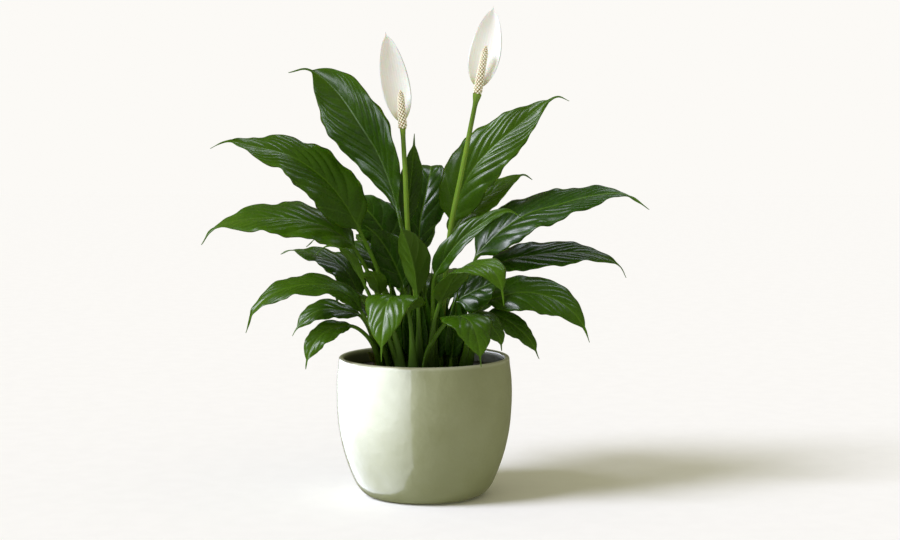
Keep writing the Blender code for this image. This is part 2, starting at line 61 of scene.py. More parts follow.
# Radius and height up the outside, as shares of the pot's greatest radius and of its height.
POT_OUTSIDE = ((0.633, 0.0), (0.695, 0.0186), (0.769, 0.0714), (0.848, 0.179), (0.919, 0.314),
               (0.972, 0.471), (0.998, 0.657), (0.996, 0.829), (0.9755, 0.957))
LIP_CENTRE = 0.944
THROWING_WAVE = 0.35 * MM
GLAZE = (0.272, 0.292, 0.150)
GLAZE_POOLED = (0.228, 0.245, 0.110)
GLAZE_THIN = (0.420, 0.430, 0.290)
# painted shade: a darker glaze colour for the inside wall, for the shade that falls into the pot
GLAZE_INSIDE_SHADED = (0.120, 0.130, 0.062)


def feed(socket, value):
    """Give an input socket a value, or join it to a wire."""
    if isinstance(value, Wire):
        value.tree.links.new(value.socket, socket)
    else:
        socket.default_value = value


def add_node(tree, kind, inputs=None, **settings):
    """Add a node with its settings, and feed its inputs, which are named or numbered."""
    node = tree.nodes.new(kind)
    for name, value in settings.items():
        setattr(node, name, value)
    for key, value in (inputs or {}).items():
        feed(node.inputs[key], value)
    return node


class Wire:
    """An output socket.  Arithmetic on it adds Math nodes to its tree."""

    def __init__(self, socket):
        self.socket = socket
        self.tree = socket.id_data

    def math(self, operation, *others):
        node = add_node(self.tree, "ShaderNodeMath", operation=operation)
        for slot, value in zip(node.inputs, (self, *others)):
            feed(slot, value)
        return Wire(node.outputs[0])

    def __add__(self, other):
        return self.math("ADD", other)

    def __sub__(self, other):
        return self.math("SUBTRACT", other)

    def __rsub__(self, other):
        return self.math("MULTIPLY", -1.0).math("ADD", other)

    def __mul__(self, other):
        return self.math("MULTIPLY", other)

    def __truediv__(self, other):
        return self.math("DIVIDE", other)

    def __pow__(self, other):
        return self.math("POWER", other)

    def __abs__(self):
        return self.math("ABSOLUTE")

    __radd__ = __add__
    __rmul__ = __mul__

    def vector(self, operation, *others, output=0):
        node = add_node(self.tree, "ShaderNodeVectorMath", operation=operation)
        for slot, value in zip(node.inputs, (self, *others)):
            feed(slot, value)
        return Wire(node.outputs[output])

    def scaled(self, size):
        node = add_node(self.tree, "ShaderNodeVectorMath", {0: self, "Scale": size}, operation="SCALE")
        return Wire(node.outputs[0])

    def smooth(self, low, high, start=0.0, end=1.0):
        """Ease from start at low to end at high."""
        node = add_node(self.tree, "ShaderNodeMapRange",
                        {0: self, 1: low, 2: high, 3: start, 4: end}, interpolation_type="SMOOTHSTEP")
        return Wire(node.outputs[0])

    def parts(self):
        node = add_node(self.tree, "ShaderNodeSeparateXYZ", {0: self})
        return [Wire(output) for output in node.outputs]


def combine(tree, x, y, z):
    """A vector from three numbers or wires."""
    return Wire(add_node(tree, "ShaderNodeCombineXYZ", {0: x, 1: y, 2: z}).outputs[0])


def new_tree(kind, name, inputs, outputs):
    """A node group with named sockets, given as (name, socket type, default)."""
    tree = bpy.data.node_groups.new(name, kind)
    for direction, sockets in (("INPUT", inputs), ("OUTPUT", outputs)):
        for label, sort, value in sockets:
            item = tree.interface.new_socket(name=label, in_out=direction, socket_type=sort)
            if value is not None:
                item.default_value = value
    given = tree.nodes.new("NodeGroupInput")
    wires = {socket.name: Wire(socket) for socket in given.outputs if socket.name}
    return tree, wires, tree.nodes.new("NodeGroupOutput")


def index_of(tree):
    """The number of each point, as a wire."""
    return Wire(add_node(tree, "GeometryNodeInputIndex").outputs[0])


def ring_tube(tree, rows, sides):
    """A closed tube of rows of points, with each point's row and its turn from 0 to 1 round the row."""
    line = Wire(add_node(tree, "GeometryNodeCurvePrimitiveLine").outputs[0])
    rail = add_node(tree, "GeometryNodeResampleCurve", {"Curve": line, "Count": rows})
    circle = add_node(tree, "GeometryNodeCurvePrimitiveCircle", {"Resolution": sides})
    tube = add_node(tree, "GeometryNodeCurveToMesh", {"Curve": Wire(rail.outputs[0]),
                                                      "Profile Curve": Wire(circle.outputs[0]),
                                                      "Fill Caps": True})
    index = index_of(tree)
    row = (index / sides + 0.0001).math("FLOOR")
    return Wire(tube.outputs[0]), row, (index - row * sides) / sides


def placed(tree, geometry, position):
    """Geometry with its points moved to a position."""
    return Wire(add_node(tree, "GeometryNodeSetPosition",
                         {"Geometry": geometry, "Position": position}).outputs[0])


def stored(tree, geometry, name, value, sort="FLOAT_VECTOR"):
    """Geometry that carries a value for its material to read."""
    node = add_node(tree, "GeometryNodeStoreNamedAttribute", data_type=sort)
    feed(node.inputs["Geometry"], geometry)
    feed(node.inputs["Name"], name)
    feed(node.inputs["Value"], value)
    return Wire(node.outputs[0])


def close_tree(tree, geometry, surface, result, smooth=True):
    """End a geometry tree: shading, real meshes and the material."""
    if smooth:
        geometry = Wire(add_node(tree, "GeometryNodeSetShadeSmooth", {"Geometry": geometry}).outputs[0])
    real = Wire(add_node(tree, "GeometryNodeRealizeInstances", {"Geometry": geometry}).outputs[0])
    covered = add_node(tree, "GeometryNodeSetMaterial", {"Geometry": real, "Material": surface})
    feed(result.inputs[0], Wire(covered.outputs[0]))


def mesh_object(name, points, edges=(), faces=()):
    """An object from points in metres."""
    mesh = bpy.data.meshes.new(name)
    mesh.from_pydata(points, edges, faces)
    made = bpy.data.objects.new(name, mesh)
    bpy.context.scene.collection.objects.link(made)
    return made


def path_object(name, points):
    """A line through points."""
    return mesh_object(name, points, [(index, index + 1) for index in range(len(points) - 1)])


def grown(name, source, tree, values):
    """The plain mesh object that a geometry tree makes of a source object."""
    modifier = source.modifiers.new(tree.name, "NODES")
    modifier.node_group = tree
    for item in tree.interface.items_tree:
        if item.in_out == "INPUT" and item.name in values:
            modifier[item.identifier] = values[item.name]
    bpy.context.view_layer.update()
    evaluated = source.evaluated_get(bpy.context.evaluated_depsgraph_get())
    mesh = bpy.data.meshes.new_from_object(evaluated)
    bpy.data.objects.remove(source, do_unlink=True)
    mesh.name = name
    made = bpy.data.objects.new(name, mesh)
    bpy.context.scene.collection.objects.link(made)
    return made


def finish_as(piece, slot, *nodes):
    """Fix a piece to the plant and let it stand for its nodes."""
    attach(piece, "root")
    if nodes:
        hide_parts(*nodes)


def surface(name, roughness, **inputs):
    """A material, its tree and its Principled shader; inputs set plain values on the shader."""
    made = bpy.data.materials.new(name)
    made.use_nodes = True
    shader = made.node_tree.nodes["Principled BSDF"]
    shader.inputs["Roughness"].default_value = roughness
    for label, value in inputs.items():
        shader.inputs[label.replace("_", " ")].default_value = value
    return made, made.node_tree, shader


def colour_mix(tree, share, first, second):
    """A colour between two, which are colours or wires."""
    node = add_node(tree, "ShaderNodeMix", data_type="RGBA")
    for slot, value in ((0, share), (6, first), (7, second)):
        feed(node.inputs[slot], value if isinstance(value, (Wire, float)) else (*value, 1.0))
    return Wire(node.outputs[2])


def noise(tree, place, scale, detail=3.0, roughness=0.5):
    """Soft noise from 0 to 1 at a place."""
    node = add_node(tree, "ShaderNodeTexNoise", {"Vector": place, "Scale": scale, "Detail": detail,
                                                 "Roughness": roughness})
    return Wire(node.outputs["Fac"])


def object_place(tree):
    """Where a point of the piece lies, as a wire."""
    return Wire(add_node(tree, "ShaderNodeTexCoord").outputs["Object"])


def bumped(tree, shader, height, distance, strength=1.0):
    """Raise the shader's surface by a height."""
    node = add_node(tree, "ShaderNodeBump", {"Height": height, "Distance": distance, "Strength": strength})
    feed(shader.inputs["Normal"], Wire(node.outputs[0]))


def spline(points, steps=10):
    """Points along a centripetal Catmull-Rom curve."""
    points = [Vector(point) for point in points]
    ends = [2 * points[0] - points[1], *points, 2 * points[-1] - points[-2]]
    curve = []
    for index in range(1, len(ends) - 2):
        a, b, c, d = ends[index - 1:index + 3]
        t1 = (b - a).length ** 0.5
        t2 = t1 + (c - b).length ** 0.5
        t3 = t2 + (d - c).length ** 0.5
        for step in range(steps):
            t = t1 + (t2 - t1) * step / steps
            ab = a * ((t1 - t) / t1) + b * (t / t1)
            bc = b * ((t2 - t) / (t2 - t1)) + c * ((t - t1) / (t2 - t1))
            cd = c * ((t3 - t) / (t3 - t2)) + d * ((t - t2) / (t3 - t2))
            abc = ab * ((t2 - t) / t2) + bc * (t / t2)
            bcd = bc * ((t3 - t) / (t3 - t1)) + cd * ((t - t1) / (t3 - t1))
            curve.append(abc * ((t2 - t) / (t2 - t1)) + bcd * ((t - t1) / (t2 - t1)))
    curve.append(points[-1])
    return curve


def pot_outside():
    """Points up the outside of the pot, in the XZ plane."""
    return spline([(radius * POT_RADIUS, 0.0, height * POT_HEIGHT) for radius, height in POT_OUTSIDE], 8)


def inside_radius(height):
    """Radius of the pot's cavity at a height."""
    outside = pot_outside()
    for low, high in zip(outside, outside[1:]):
        if low.z <= height <= high.z:
            return low.lerp(high, (height - low.z) / (high.z - low.z)).x - POT_WALL
    return outside[-1].x - POT_WALL


def pot_outline():
    """Points from the foot up the outside, over the lip and down the inside to the floor."""
    outline = pot_outside()
    lip = POT_WALL / 2 - 0.15 * MM
    for step in range(1, 14):
        angle = math.pi * step / 14
        outline.append(Vector((LIP_CENTRE * POT_RADIUS + lip * math.cos(angle), 0.0,
                               POT_HEIGHT - lip + lip * math.sin(angle))))
    for height in (132, 126, 118, 105, 92, 80, 67, 55, 45, 35, 27, 20, 15):
        outline.append(Vector((inside_radius(height * MM), 0.0, height * MM)))
    outline.append(Vector((inside_radius(POT_FLOOR) - 8 * MM, 0.0, POT_FLOOR)))
    return outline


def turned_tree():
    """Turn a line in the XZ plane about Z, with a soft unevenness that fades out at its ends."""
    tree, given, result = new_tree("GeometryNodeTree", "Turned wall", (
        ("Outline", "NodeSocketGeometry", None), ("Rows", "NodeSocketInt", 90),
        ("Sides", "NodeSocketInt", POT_SIDES), ("Wave", "NodeSocketFloat", 0.0),
        ("Surface", "NodeSocketMaterial", None)), (("Mesh", "NodeSocketGeometry", None),))
    wall, row, turn = ring_tube(tree, given["Rows"], given["Sides"])
    position = Wire(add_node(tree, "GeometryNodeInputPosition").outputs[0])
    sample = add_node(tree, "GeometryNodeSampleIndex", data_type="FLOAT_VECTOR")
    feed(sample.inputs["Geometry"], given["Outline"])
    feed(sample.inputs["Value"], position)
    feed(sample.inputs["Index"], row)
    radius, _, height = Wire(sample.outputs["Value"]).parts()
    angle = turn * (2 * math.pi)
    east = angle.math("COSINE")
    north = angle.math("SINE")
    along = combine(tree, east * 1.6, north * 1.6, height * 55.0)
    uneven = noise(tree, along, 1.0, 2.0) - 0.5
    flat_foot = height.smooth(1.5 * MM, 12 * MM)
    swollen = radius + uneven * given["Wave"] * 2.0 * flat_foot
    placed_wall = placed(tree, wall, combine(tree, swollen * east, swollen * north, height))
    close_tree(tree, placed_wall, given["Surface"], result)
    return tree


def glaze_material():
    """Glossy glaze: thin and pale over the lip, pooled darker lower down, with tiny pits and painted shade on
    the inside wall.
    """
    made, tree, shader = surface("sage_glaze", 0.5, IOR=1.55, Coat_Weight=0.6, Coat_Roughness=0.08)
    place = object_place(tree)
    _, _, height = place.parts()
    cloud = noise(tree, place, 22.0, 4.0)
    pooled = (cloud - 0.35) * 1.6 + height.smooth(60 * MM, 5 * MM, 0.0, 0.5)
    colour = colour_mix(tree, pooled.math("MINIMUM", 1.0).math("MAXIMUM", 0.0), GLAZE, GLAZE_POOLED)
    thin = height.smooth(POT_HEIGHT - 4.5 * MM, POT_HEIGHT - 0.5 * MM, 0.0, 0.75)
    colour = colour_mix(tree, thin, colour, GLAZE_THIN)
    specks = noise(tree, place, 900.0, 1.0).smooth(0.70, 0.78, 0.0, 0.35)
    colour = colour_mix(tree, specks, colour, GLAZE_POOLED)
    facing = Wire(add_node(tree, "ShaderNodeNewGeometry").outputs["Normal"])
    outward = place.vector("NORMALIZE").vector("DOT_PRODUCT", facing, output=1)
    inside = outward.smooth(0.05, -0.2) * height.smooth(POT_HEIGHT - 6 * MM, POT_HEIGHT - 2 * MM, 1.0, 0.0)
    # painted shade: the inside wall below the lip is darkened, for the shade of the plant over it
    colour = colour_mix(tree, inside, colour, GLAZE_INSIDE_SHADED)
    feed(shader.inputs["Base Color"], colour)
    dull = noise(tree, place, 60.0, 2.0).smooth(0.3, 0.8, 0.42, 0.54)
    feed(shader.inputs["Roughness"], dull + inside * 0.3)
    feed(shader.inputs["Coat Weight"], 0.6 - inside * 0.55)
    relief = noise(tree, place, 72.0, 2.0) + noise(tree, place, 300.0, 2.0) * 0.05
    bumped(tree, shader, relief, 1.6 * MM, 0.5)
    return made


turned = turned_tree()
outline = pot_outline()
pot = grown("pot_wall", path_object("pot_outline", outline), turned,
            {"Rows": len(outline), "Sides": POT_SIDES, "Wave": THROWING_WAVE, "Surface": glaze_material()})
finish_as(pot, "glaze", "pot")

# --- Soil ------------------------------------------------------------------------------------------
# Dark, damp peat potting soil, pressed into the pot by hand and heaped a little round the stalks.
# Crumbs and bark lie loose on it.

SOIL_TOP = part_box("soil")[1][2]
SOIL_EDGE = SOIL_TOP - 3.0 * MM
SOIL_SIDES = 96
SOIL_LUMP = 2.2 * MM
CRUMB_DENSITY = 60000.0
CRUMB_SIZE = 1.7 * MM
SOIL = (0.020, 0.014, 0.008)
SOIL_DRY = (0.060, 0.043, 0.024)


def soil_outline():
    """Points from the pot's floor up its wall and in over the soil's surface."""
    outline = [Vector((inside_radius(15 * MM) - 3 * MM, 0.0, 12.3 * MM))]
    for height in (20, 40, 60, 80, 100, 118):
        outline.append(Vector((inside_radius(height * MM) - 0.5 * MM, 0.0, height * MM)))
    rim = inside_radius(SOIL_EDGE) - 0.5 * MM
    for step in range(20):
        share = step / 20
        outline.append(Vector((rim * (1.0 - share), 0.0, SOIL_EDGE + (SOIL_TOP - SOIL_EDGE) * share ** 0.6)))
    outline.append(Vector((0.4 * MM, 0.0, SOIL_TOP)))
    return outline


def lumpy_tree():
    """Raise and sink the top of a body in soft lumps."""
    tree, given, result = new_tree("GeometryNodeTree", "Lumpy top", (
        ("Body", "NodeSocketGeometry", None), ("Lump", "NodeSocketFloat", SOIL_LUMP),
        ("Surface", "NodeSocketMaterial", None)), (("Mesh", "NodeSocketGeometry", None),))
    position = Wire(add_node(tree, "GeometryNodeInputPosition").outputs[0])
    _, _, height = position.parts()
    lump = noise(tree, position, 90.0, 3.0) - 0.6
    top = height.smooth(SOIL_EDGE - 4 * MM, SOIL_EDGE)
    raised = position.vector("ADD", combine(tree, 0.0, 0.0, lump * given["Lump"] * 2.0 * top))
    close_tree(tree, placed(tree, given["Body"], raised), given["Surface"], result)
    return tree


def crumb_tree():
    """Scatter small rough crumbs over the upward faces of a body."""
    tree, given, result = new_tree("GeometryNodeTree", "Crumbs", (
        ("Body", "NodeSocketGeometry", None), ("Density", "NodeSocketFloat", CRUMB_DENSITY),
        ("Size", "NodeSocketFloat", CRUMB_SIZE), ("Seed", "NodeSocketInt", 4),
        ("Surface", "NodeSocketMaterial", None)), (("Mesh", "NodeSocketGeometry", None),))
    _, _, height = Wire(add_node(tree, "GeometryNodeInputPosition").outputs[0]).parts()
    top = height.math("GREATER_THAN", SOIL_EDGE - 2 * MM)
    spread = add_node(tree, "GeometryNodeDistributePointsOnFaces",
                      {"Mesh": given["Body"], "Selection": top, "Density": given["Density"],
                       "Seed": given["Seed"]})
    crumb = add_node(tree, "GeometryNodeMeshIcoSphere", {"Radius": given["Size"] * 0.5, "Subdivisions": 1})
    size = add_node(tree, "FunctionNodeRandomValue", {0: (0.5, 0.3, 0.25), 1: (1.8, 1.1, 0.8),
                                                      "Seed": given["Seed"]}, data_type="FLOAT_VECTOR")
    turn = add_node(tree, "FunctionNodeRandomValue", {0: (-0.5, -0.5, 0.0), 1: (0.5, 0.5, 6.3),
                                                      "Seed": given["Seed"]}, data_type="FLOAT_VECTOR")
    crumbs = add_node(tree, "GeometryNodeInstanceOnPoints",
                      {"Points": Wire(spread.outputs[0]), "Instance": Wire(crumb.outputs[0]),
                       "Scale": Wire(size.outputs[0]), "Rotation": Wire(turn.outputs[0])})
    close_tree(tree, Wire(crumbs.outputs[0]), given["Surface"], result, smooth=False)
    return tree


def soil_material(name, scale):
    """Damp soil, dark in its hollows and dusty brown on what stands up."""
    made, tree, shader = surface(name, 0.9)
    place = object_place(tree)
    grain = noise(tree, place, scale, 5.0, 0.65)
    feed(shader.inputs["Base Color"], colour_mix(tree, grain.smooth(0.42, 0.75), SOIL, SOIL_DRY))
    feed(shader.inputs["Roughness"], grain.smooth(0.3, 0.7, 0.65, 0.98))
    bumped(tree, shader, grain, 1.2 * MM)
    return made


soil_points = soil_outline()
soil_body = grown("soil_heap", path_object("soil_outline", soil_points), turned,
                  {"Rows": len(soil_points), "Sides": SOIL_SIDES, "Wave": 0.0,
                   "Surface": soil_material("potting_soil", 260.0)})
soil_body = grown("soil_heap", soil_body, lumpy_tree(),
                  {"Lump": SOIL_LUMP, "Surface": bpy.data.materials["potting_soil"]})
crumb_source = soil_body.copy()
crumb_source.data = soil_body.data.copy()
bpy.context.scene.collection.objects.link(crumb_source)
crumbs = grown("soil_crumbs", crumb_source, crumb_tree(),
               {"Density": CRUMB_DENSITY, "Size": CRUMB_SIZE, "Seed": 4,
                "Surface": soil_material("soil_crumb", 600.0)})
finish_as(soil_body, "potting_soil", "soil")
finish_as(crumbs, "potting_soil")

# --- Leaves ----------------------------------------------------------------------------------------
# Each leaf is one glossy blade on a slim round stalk that comes up out of the soil.  The blade is
# folded along a sunken midrib, quilted between its curved side veins, wavy at its margin, and drawn
# out to a thin drip tip.  The underside is paler and duller, with a raised keel.

ROOT_Z = 112.0
STALK_BASE_RADIUS = 2.9 * MM
STALK_TOP_RADIUS = 1.8 * MM
STALK_SHEATH = 2.3         # how many times wider the clasping foot of a stalk is than thick
STALK_ROWS = 26
BLADE_ROWS = 132
LEAF_SIDES = 56
BLADE_THICKNESS = 0.55 * MM
DRIP_TIP = 0.12
DRIP_RADIUS = 1.3 * MM
BLUNTNESS = 0.85
MARGIN_NOTCH = 0.045       # how far the margin swings in and out, as a share of the half width
VEIN_SLANT = 0.36          # how far towards the tip a side vein has run when it meets the margin
QUILT = 1.0 * MM
VEIN_SPACING = 17.0 * MM
LEAF_GREEN = (0.017, 0.056, 0.001)
LEAF_LIGHT = (0.068, 0.155, 0.004)
LEAF_UNDER = (0.055, 0.120, 0.003)
LEAF_VEIN = (0.070, 0.160, 0.012)
STALK_GREEN = (0.075, 0.165, 0.008)
# the foot of a stalk, darkened as painted shade where the clump closes round it
STALK_BASE = (0.024, 0.055, 0.003)

Leaf = namedtuple("Leaf", "name root collar ribs width peak base_face tip_face fold ripple waves")

# In millimetres, as the solids were laid out: root on the soil (x, y), points up the stalk with the
# collar last, points along the midrib with the tip last, blade width and where along the blade it is
# widest, the way its upper side looks at the base and at the tip, how far its halves fold up in
# degrees, and the height and number of the waves along its margin.
LEAVES = (
    # tall leaves
    Leaf("leaf_tall_left", (-6, 10), ((-13, 15, 195), (-25, 14, 278)),
         ((-43, 8, 337), (-62, 2, 370), (-89, -4, 408), (-115, -8, 427), (-134, -10, 424)),
         72, 0.6, (-0.65, -0.8, -0.05), (-0.5, -0.85, 0.3), 24, 2.0, 3.5),
    Leaf("leaf_tall_right", (14, 14), ((20, 16, 190), (28, 14, 270)),
         ((44, 12, 320), (66, 10, 347), (96, 8, 373), (121, 6, 394), (134, 5, 400), (145, 4, 396)),
         57, 0.42, (-0.1, -0.85, 0.5), (-0.1, -0.85, 0.5), 15, 2.0, 4.0),
    Leaf("leaf_back_bud", (0, 16), ((-6, 22, 190), (-18, 25, 268)),
         ((-16, 26, 296), (-13, 27, 322), (-11, 28, 345), (-10, 28, 363)),
         26, 0.5, (0.3, -0.95, 0.1), (0.3, -0.95, 0.1), 20, 0.8, 3.0),
    Leaf("leaf_back_dark", (6, 22), ((2, 34, 190), (-5, 45, 244)),
         ((-5, 52, 270), (1, 60, 300), (5, 72, 320), (6, 88, 328), (6, 112, 318)),
         48, 0.5, (0.0, -0.8, 0.6), (0.0, -0.8, 0.6), 14, 1.6, 3.0),
    Leaf("leaf_shade_left", (-4, 24), ((-12, 28, 190), (-35, 30, 247)),
         ((-43, 33, 265), (-54, 36, 280), (-66, 40, 291), (-82, 46, 298)),
         46, 0.45, (-0.1, -0.9, 0.4), (-0.1, -0.9, 0.4), 14, 1.6, 3.0),
    # arching leaves on the left
    Leaf("leaf_upper_left", (-22, 0), ((-34, -9, 180), (-46, -15, 228), (-63, -18, 266)),
         ((-79, -21, 296), (-100, -25, 321), (-131, -30, 342), (-168, -35, 352), (-193, -39, 357),
          (-208, -42, 350)),
         68, 0.42, (0.0, -0.6, 0.8), (0.0, -0.6, 0.8), 14, 2.2, 4.5),
    Leaf("leaf_middle_left", (-28, -6), ((-42, -10, 190), (-68, -14, 248)),
         ((-84, -17, 265), (-110, -20, 276), (-157, -27, 281), (-194, -32, 276), (-210, -34, 268),
          (-219, -35, 255)),
         64, 0.42, (0.0, -0.5, 0.87), (0.0, -0.5, 0.87), 12, 2.0, 4.0),
    Leaf("leaf_under_left", (-20, 8), ((-32, 12, 160), (-63, 14, 197)),
         ((-80, 16, 226), (-100, 18, 238), (-120, 20, 243), (-136, 22, 245), (-146, 23, 241)),
         42, 0.42, (0.0, -0.4, 0.9), (0.0, -0.4, 0.9), 12, 1.6, 3.5),
    Leaf("leaf_narrow_left", (-20, -16), ((-34, -30, 160), (-56, -42, 212)),
         ((-67, -50, 236), (-75, -62, 250), (-88, -72, 257), (-97, -78, 255), (-103, -80, 249)),
         24, 0.45, (0.3, 0.05, 0.95), (0.3, 0.05, 0.95), 16, 0.8, 3.0),
    Leaf("leaf_inner_left", (-20, -25), ((-29, -31, 165), (-43, -39, 206)),
         ((-46, -55, 223), (-50, -70, 231), (-54, -86, 235)),
         22, 0.45, (0.1, 0.5, 0.85), (0.1, 0.5, 0.85), 12, 1.0, 2.5),
    Leaf("leaf_lower_left", (-30, -12), ((-40, -20, 150), (-60, -34, 186)),
         ((-70, -38, 202), (-91, -44, 215), (-120, -52, 217), (-148, -58, 208), (-165, -61, 193),
          (-173, -63, 171)),
         40, 0.45, (0.0, -0.45, 0.9), (0.0, -0.45, 0.9), 12, 1.8, 4.0),
    Leaf("leaf_small_left", (-36, -2), ((-46, -6, 142), (-63, -10, 181)),
         ((-83, -14, 188), (-103, -18, 189), (-118, -21, 180), (-127, -22, 170), (-131, -23, 163)),
         29, 0.5, (0.0, -0.6, 0.8), (0.0, -0.6, 0.8), 12, 1.2, 3.0),
    Leaf("leaf_lowest_left", (-38, -14), ((-50, -22, 153), (-60, -28, 167), (-70, -34, 174)),
         ((-83, -42, 175), (-97, -50, 170), (-107, -56, 160), (-113, -60, 147), (-115, -61, 135)),
         25, 0.5, (-0.1, -0.75, 0.65), (-0.1, -0.75, 0.65), 12, 1.4, 3.0),
    Leaf("leaf_hidden_left", (-12, 14), ((-22, 20, 170), (-40, 26, 220)),
         ((-50, 29, 234), (-63, 33, 245), (-76, 38, 250), (-91, 43, 250)),
         32, 0.45, (0.0, -0.5, 0.85), (0.0, -0.5, 0.85), 12, 1.2, 3.0),
    Leaf("leaf_shaded_middle", (-12, -6), ((-16, -3, 160), (-20, 0, 207)),
         ((-26, 3, 225), (-36, 5, 245), (-48, 5, 262), (-60, 4, 272)),
         44, 0.42, (-0.2, -0.9, 0.3), (-0.2, -0.9, 0.3), 14, 1.2, 3.0),
    # leaves that hang forward
    Leaf("leaf_front_left", (-10, -29), ((-11, -33, 150), (-15, -38, 188)),
         ((-24, -58, 206), (-33, -80, 205), (-38, -94, 182), (-39.5, -101, 164), (-39.5, -104, 148.5)),
         54, 0.36, (-0.2, -0.35, 0.93), (-0.05, -0.35, 0.95), 10, 1.2, 3.0),
    Leaf("leaf_front_upright", (-4, -22), ((-5, -28, 174), (-6, -32, 204)),
         ((-9, -36, 231), (-15, -38, 253), (-21, -39, 270), (-24, -40, 280)),
         52, 0.52, (0.1, 1.0, 0.3), (0.1, 1.0, 0.3), 54, 0.8, 2.0),
    Leaf("leaf_front_right", (-1, -38), ((4, -44, 150), (11, -48, 164), (19, -51, 176), (27.5, -54, 184)),
         ((37, -72, 188.5), (46.5, -87, 183.5), (52.5, -95, 168), (56, -101, 143)),
         48, 0.38, (0.15, -0.4, 0.9), (0.15, -0.4, 0.9), 10, 1.2, 3.0),
    Leaf("leaf_front_draped", (6, -28), ((9, -38, 170), (15.5, -46, 197.5)),
         ((24.5, -56, 217), (35, -68, 233), (52, -82, 240), (67, -92, 235), (75, -97, 219),
          (77.5, -99, 201.5)),
         50, 0.42, (-0.1, 0.1, 1.0), (0.0, -0.6, 0.8), 10, 1.2, 3.0),
    # arching leaves on the right
    Leaf("leaf_behind_tall_right", (18, 22), ((20, 26, 185), (26, 30, 257)),
         ((41, 33, 281), (58, 35, 295), (79, 36, 310), (94, 37, 319), (101, 37, 321), (110, 38, 316)),
         38, 0.45, (0.0, -0.6, 0.8), (0.0, -0.6, 0.8), 12, 1.2, 3.0),
    Leaf("leaf_slim_right", (10, -14), ((9, -22, 180), (11, -27, 222)),
         ((23, -30, 243), (38, -32, 261), (56, -34, 275), (72, -35, 285), (84, -36, 288), (100, -37, 280)),
         27, 0.34, (-0.1, -0.75, 0.65), (-0.1, -0.75, 0.65), 30, 1.2, 3.0),
    Leaf("leaf_upper_right", (32, 6), ((40, 6, 180), (52, 6, 238)),
         ((64, 6, 254), (81, 5, 269), (106, 4, 284), (136, 2, 293), (166, 0, 301), (201, -3, 303),
          (225, -6, 288)),
         58, 0.36, (0.0, -0.55, 0.83), (0.0, -0.55, 0.83), 12, 2.2, 4.5),
    Leaf("leaf_middle_right", (34, 14), ((44, 15, 170), (66, 16, 224)),
         ((81, 17, 235), (107, 18, 240), (137, 19, 243), (167, 20, 242), (187, 20, 236), (199, 20, 228),
          (205, 20, 217)),
         41, 0.36, (0.0, -0.6, 0.8), (0.0, -0.6, 0.8), 10, 1.6, 3.5),
    Leaf("leaf_broad_right", (38, -6), ((46, -9, 160), (60, -12, 194)),
         ((81, -14, 203), (105, -16, 206), (131, -18, 199), (150, -20, 185), (160, -21, 170),
          (165, -22, 156.5)),
         50, 0.42, (0.0, -0.65, 0.75), (0.0, -0.65, 0.75), 10, 1.4, 3.0),
    Leaf("leaf_small_right", (40, -14), ((48, -17, 148), (62, -18, 184)),
         ((78.5, -20, 181), (93, -21, 171), (106, -22, 158), (115, -23, 140)),
         27, 0.42, (0.2, -0.7, 0.7), (0.2, -0.7, 0.7), 10, 1.2, 3.0),
    Leaf("leaf_short_right", (34, -20), ((42, -30, 150), (47.5, -38, 184)),
         ((61, -41, 181), (71, -43, 170), (76, -44, 160), (77, -45, 151)),
         30, 0.4, (0.3, -0.6, 0.75), (0.3, -0.6, 0.75), 10, 1.0, 3.0),
    Leaf("leaf_shaded_right", (26, -8), ((28, -14, 160), (31, -20, 196)),
         ((44, -22, 205), (58, -24, 212), (70, -25, 217), (81, -26, 217)),
         46, 0.42, (0.0, -0.75, 0.65), (0.0, -0.75, 0.65), 12, 1.2, 3.0),
    # leaves on the far side
    Leaf("leaf_rear_high", (0, 30), ((-3, 45, 190), (-8, 62, 235)),
         ((-12, 85, 270), (-14, 110, 286), (-16, 140, 285), (-18, 165, 262), (-19, 174, 246)),
         52, 0.42, (0.0, 0.3, 1.0), (0.0, 0.3, 1.0), 12, 1.8, 4.0),
    Leaf("leaf_rear_left_high", (-14, 30), ((-20, 48, 180), (-32, 75, 226)),
         ((-44, 105, 244), (-55, 132, 252), (-66, 155, 246), (-75, 172, 228)),
         50, 0.42, (-0.1, 0.3, 1.0), (-0.1, 0.3, 1.0), 12, 1.8, 4.0),
    Leaf("leaf_rear_left", (-14, 22), ((-26, 38, 165), (-50, 62, 218)),
         ((-78, 88, 244), (-98, 106, 252), (-116, 120, 250), (-128, 130, 240)),
         42, 0.42, (0.0, 0.1, 1.0), (0.0, 0.1, 1.0), 12, 1.6, 4.0),
    Leaf("leaf_rear_left_low", (-24, 14), ((-36, 26, 145), (-52, 40, 172)),
         ((-66, 54, 190), (-80, 68, 197), (-90, 78, 192), (-96, 84, 180)),
         36, 0.42, (0.0, 0.1, 1.0), (0.0, 0.1, 1.0), 12, 1.2, 3.0),
    Leaf("leaf_rear_low", (-6, 36), ((-7, 52, 150), (-9, 72, 182)),
         ((-11, 95, 205), (-13, 118, 212), (-15, 142, 200), (-17, 158, 176)),
         46, 0.42, (0.0, 0.3, 1.0), (0.0, 0.3, 1.0), 12, 1.6, 3.5),
    Leaf("leaf_rear_right", (12, 30), ((16, 48, 155), (24, 74, 188)),
         ((34, 104, 210), (42, 132, 216), (50, 158, 204), (55, 174, 182)),
         48, 0.42, (0.0, 0.3, 1.0), (0.0, 0.3, 1.0), 12, 1.6, 4.0),
    Leaf("leaf_rear_right_low", (26, 22), ((34, 36, 145), (48, 56, 172)),
         ((66, 80, 196), (84, 100, 204), (104, 118, 198), (118, 130, 180)),
         44, 0.42, (0.1, 0.2, 1.0), (0.1, 0.2, 1.0), 12, 1.4, 3.5),
)
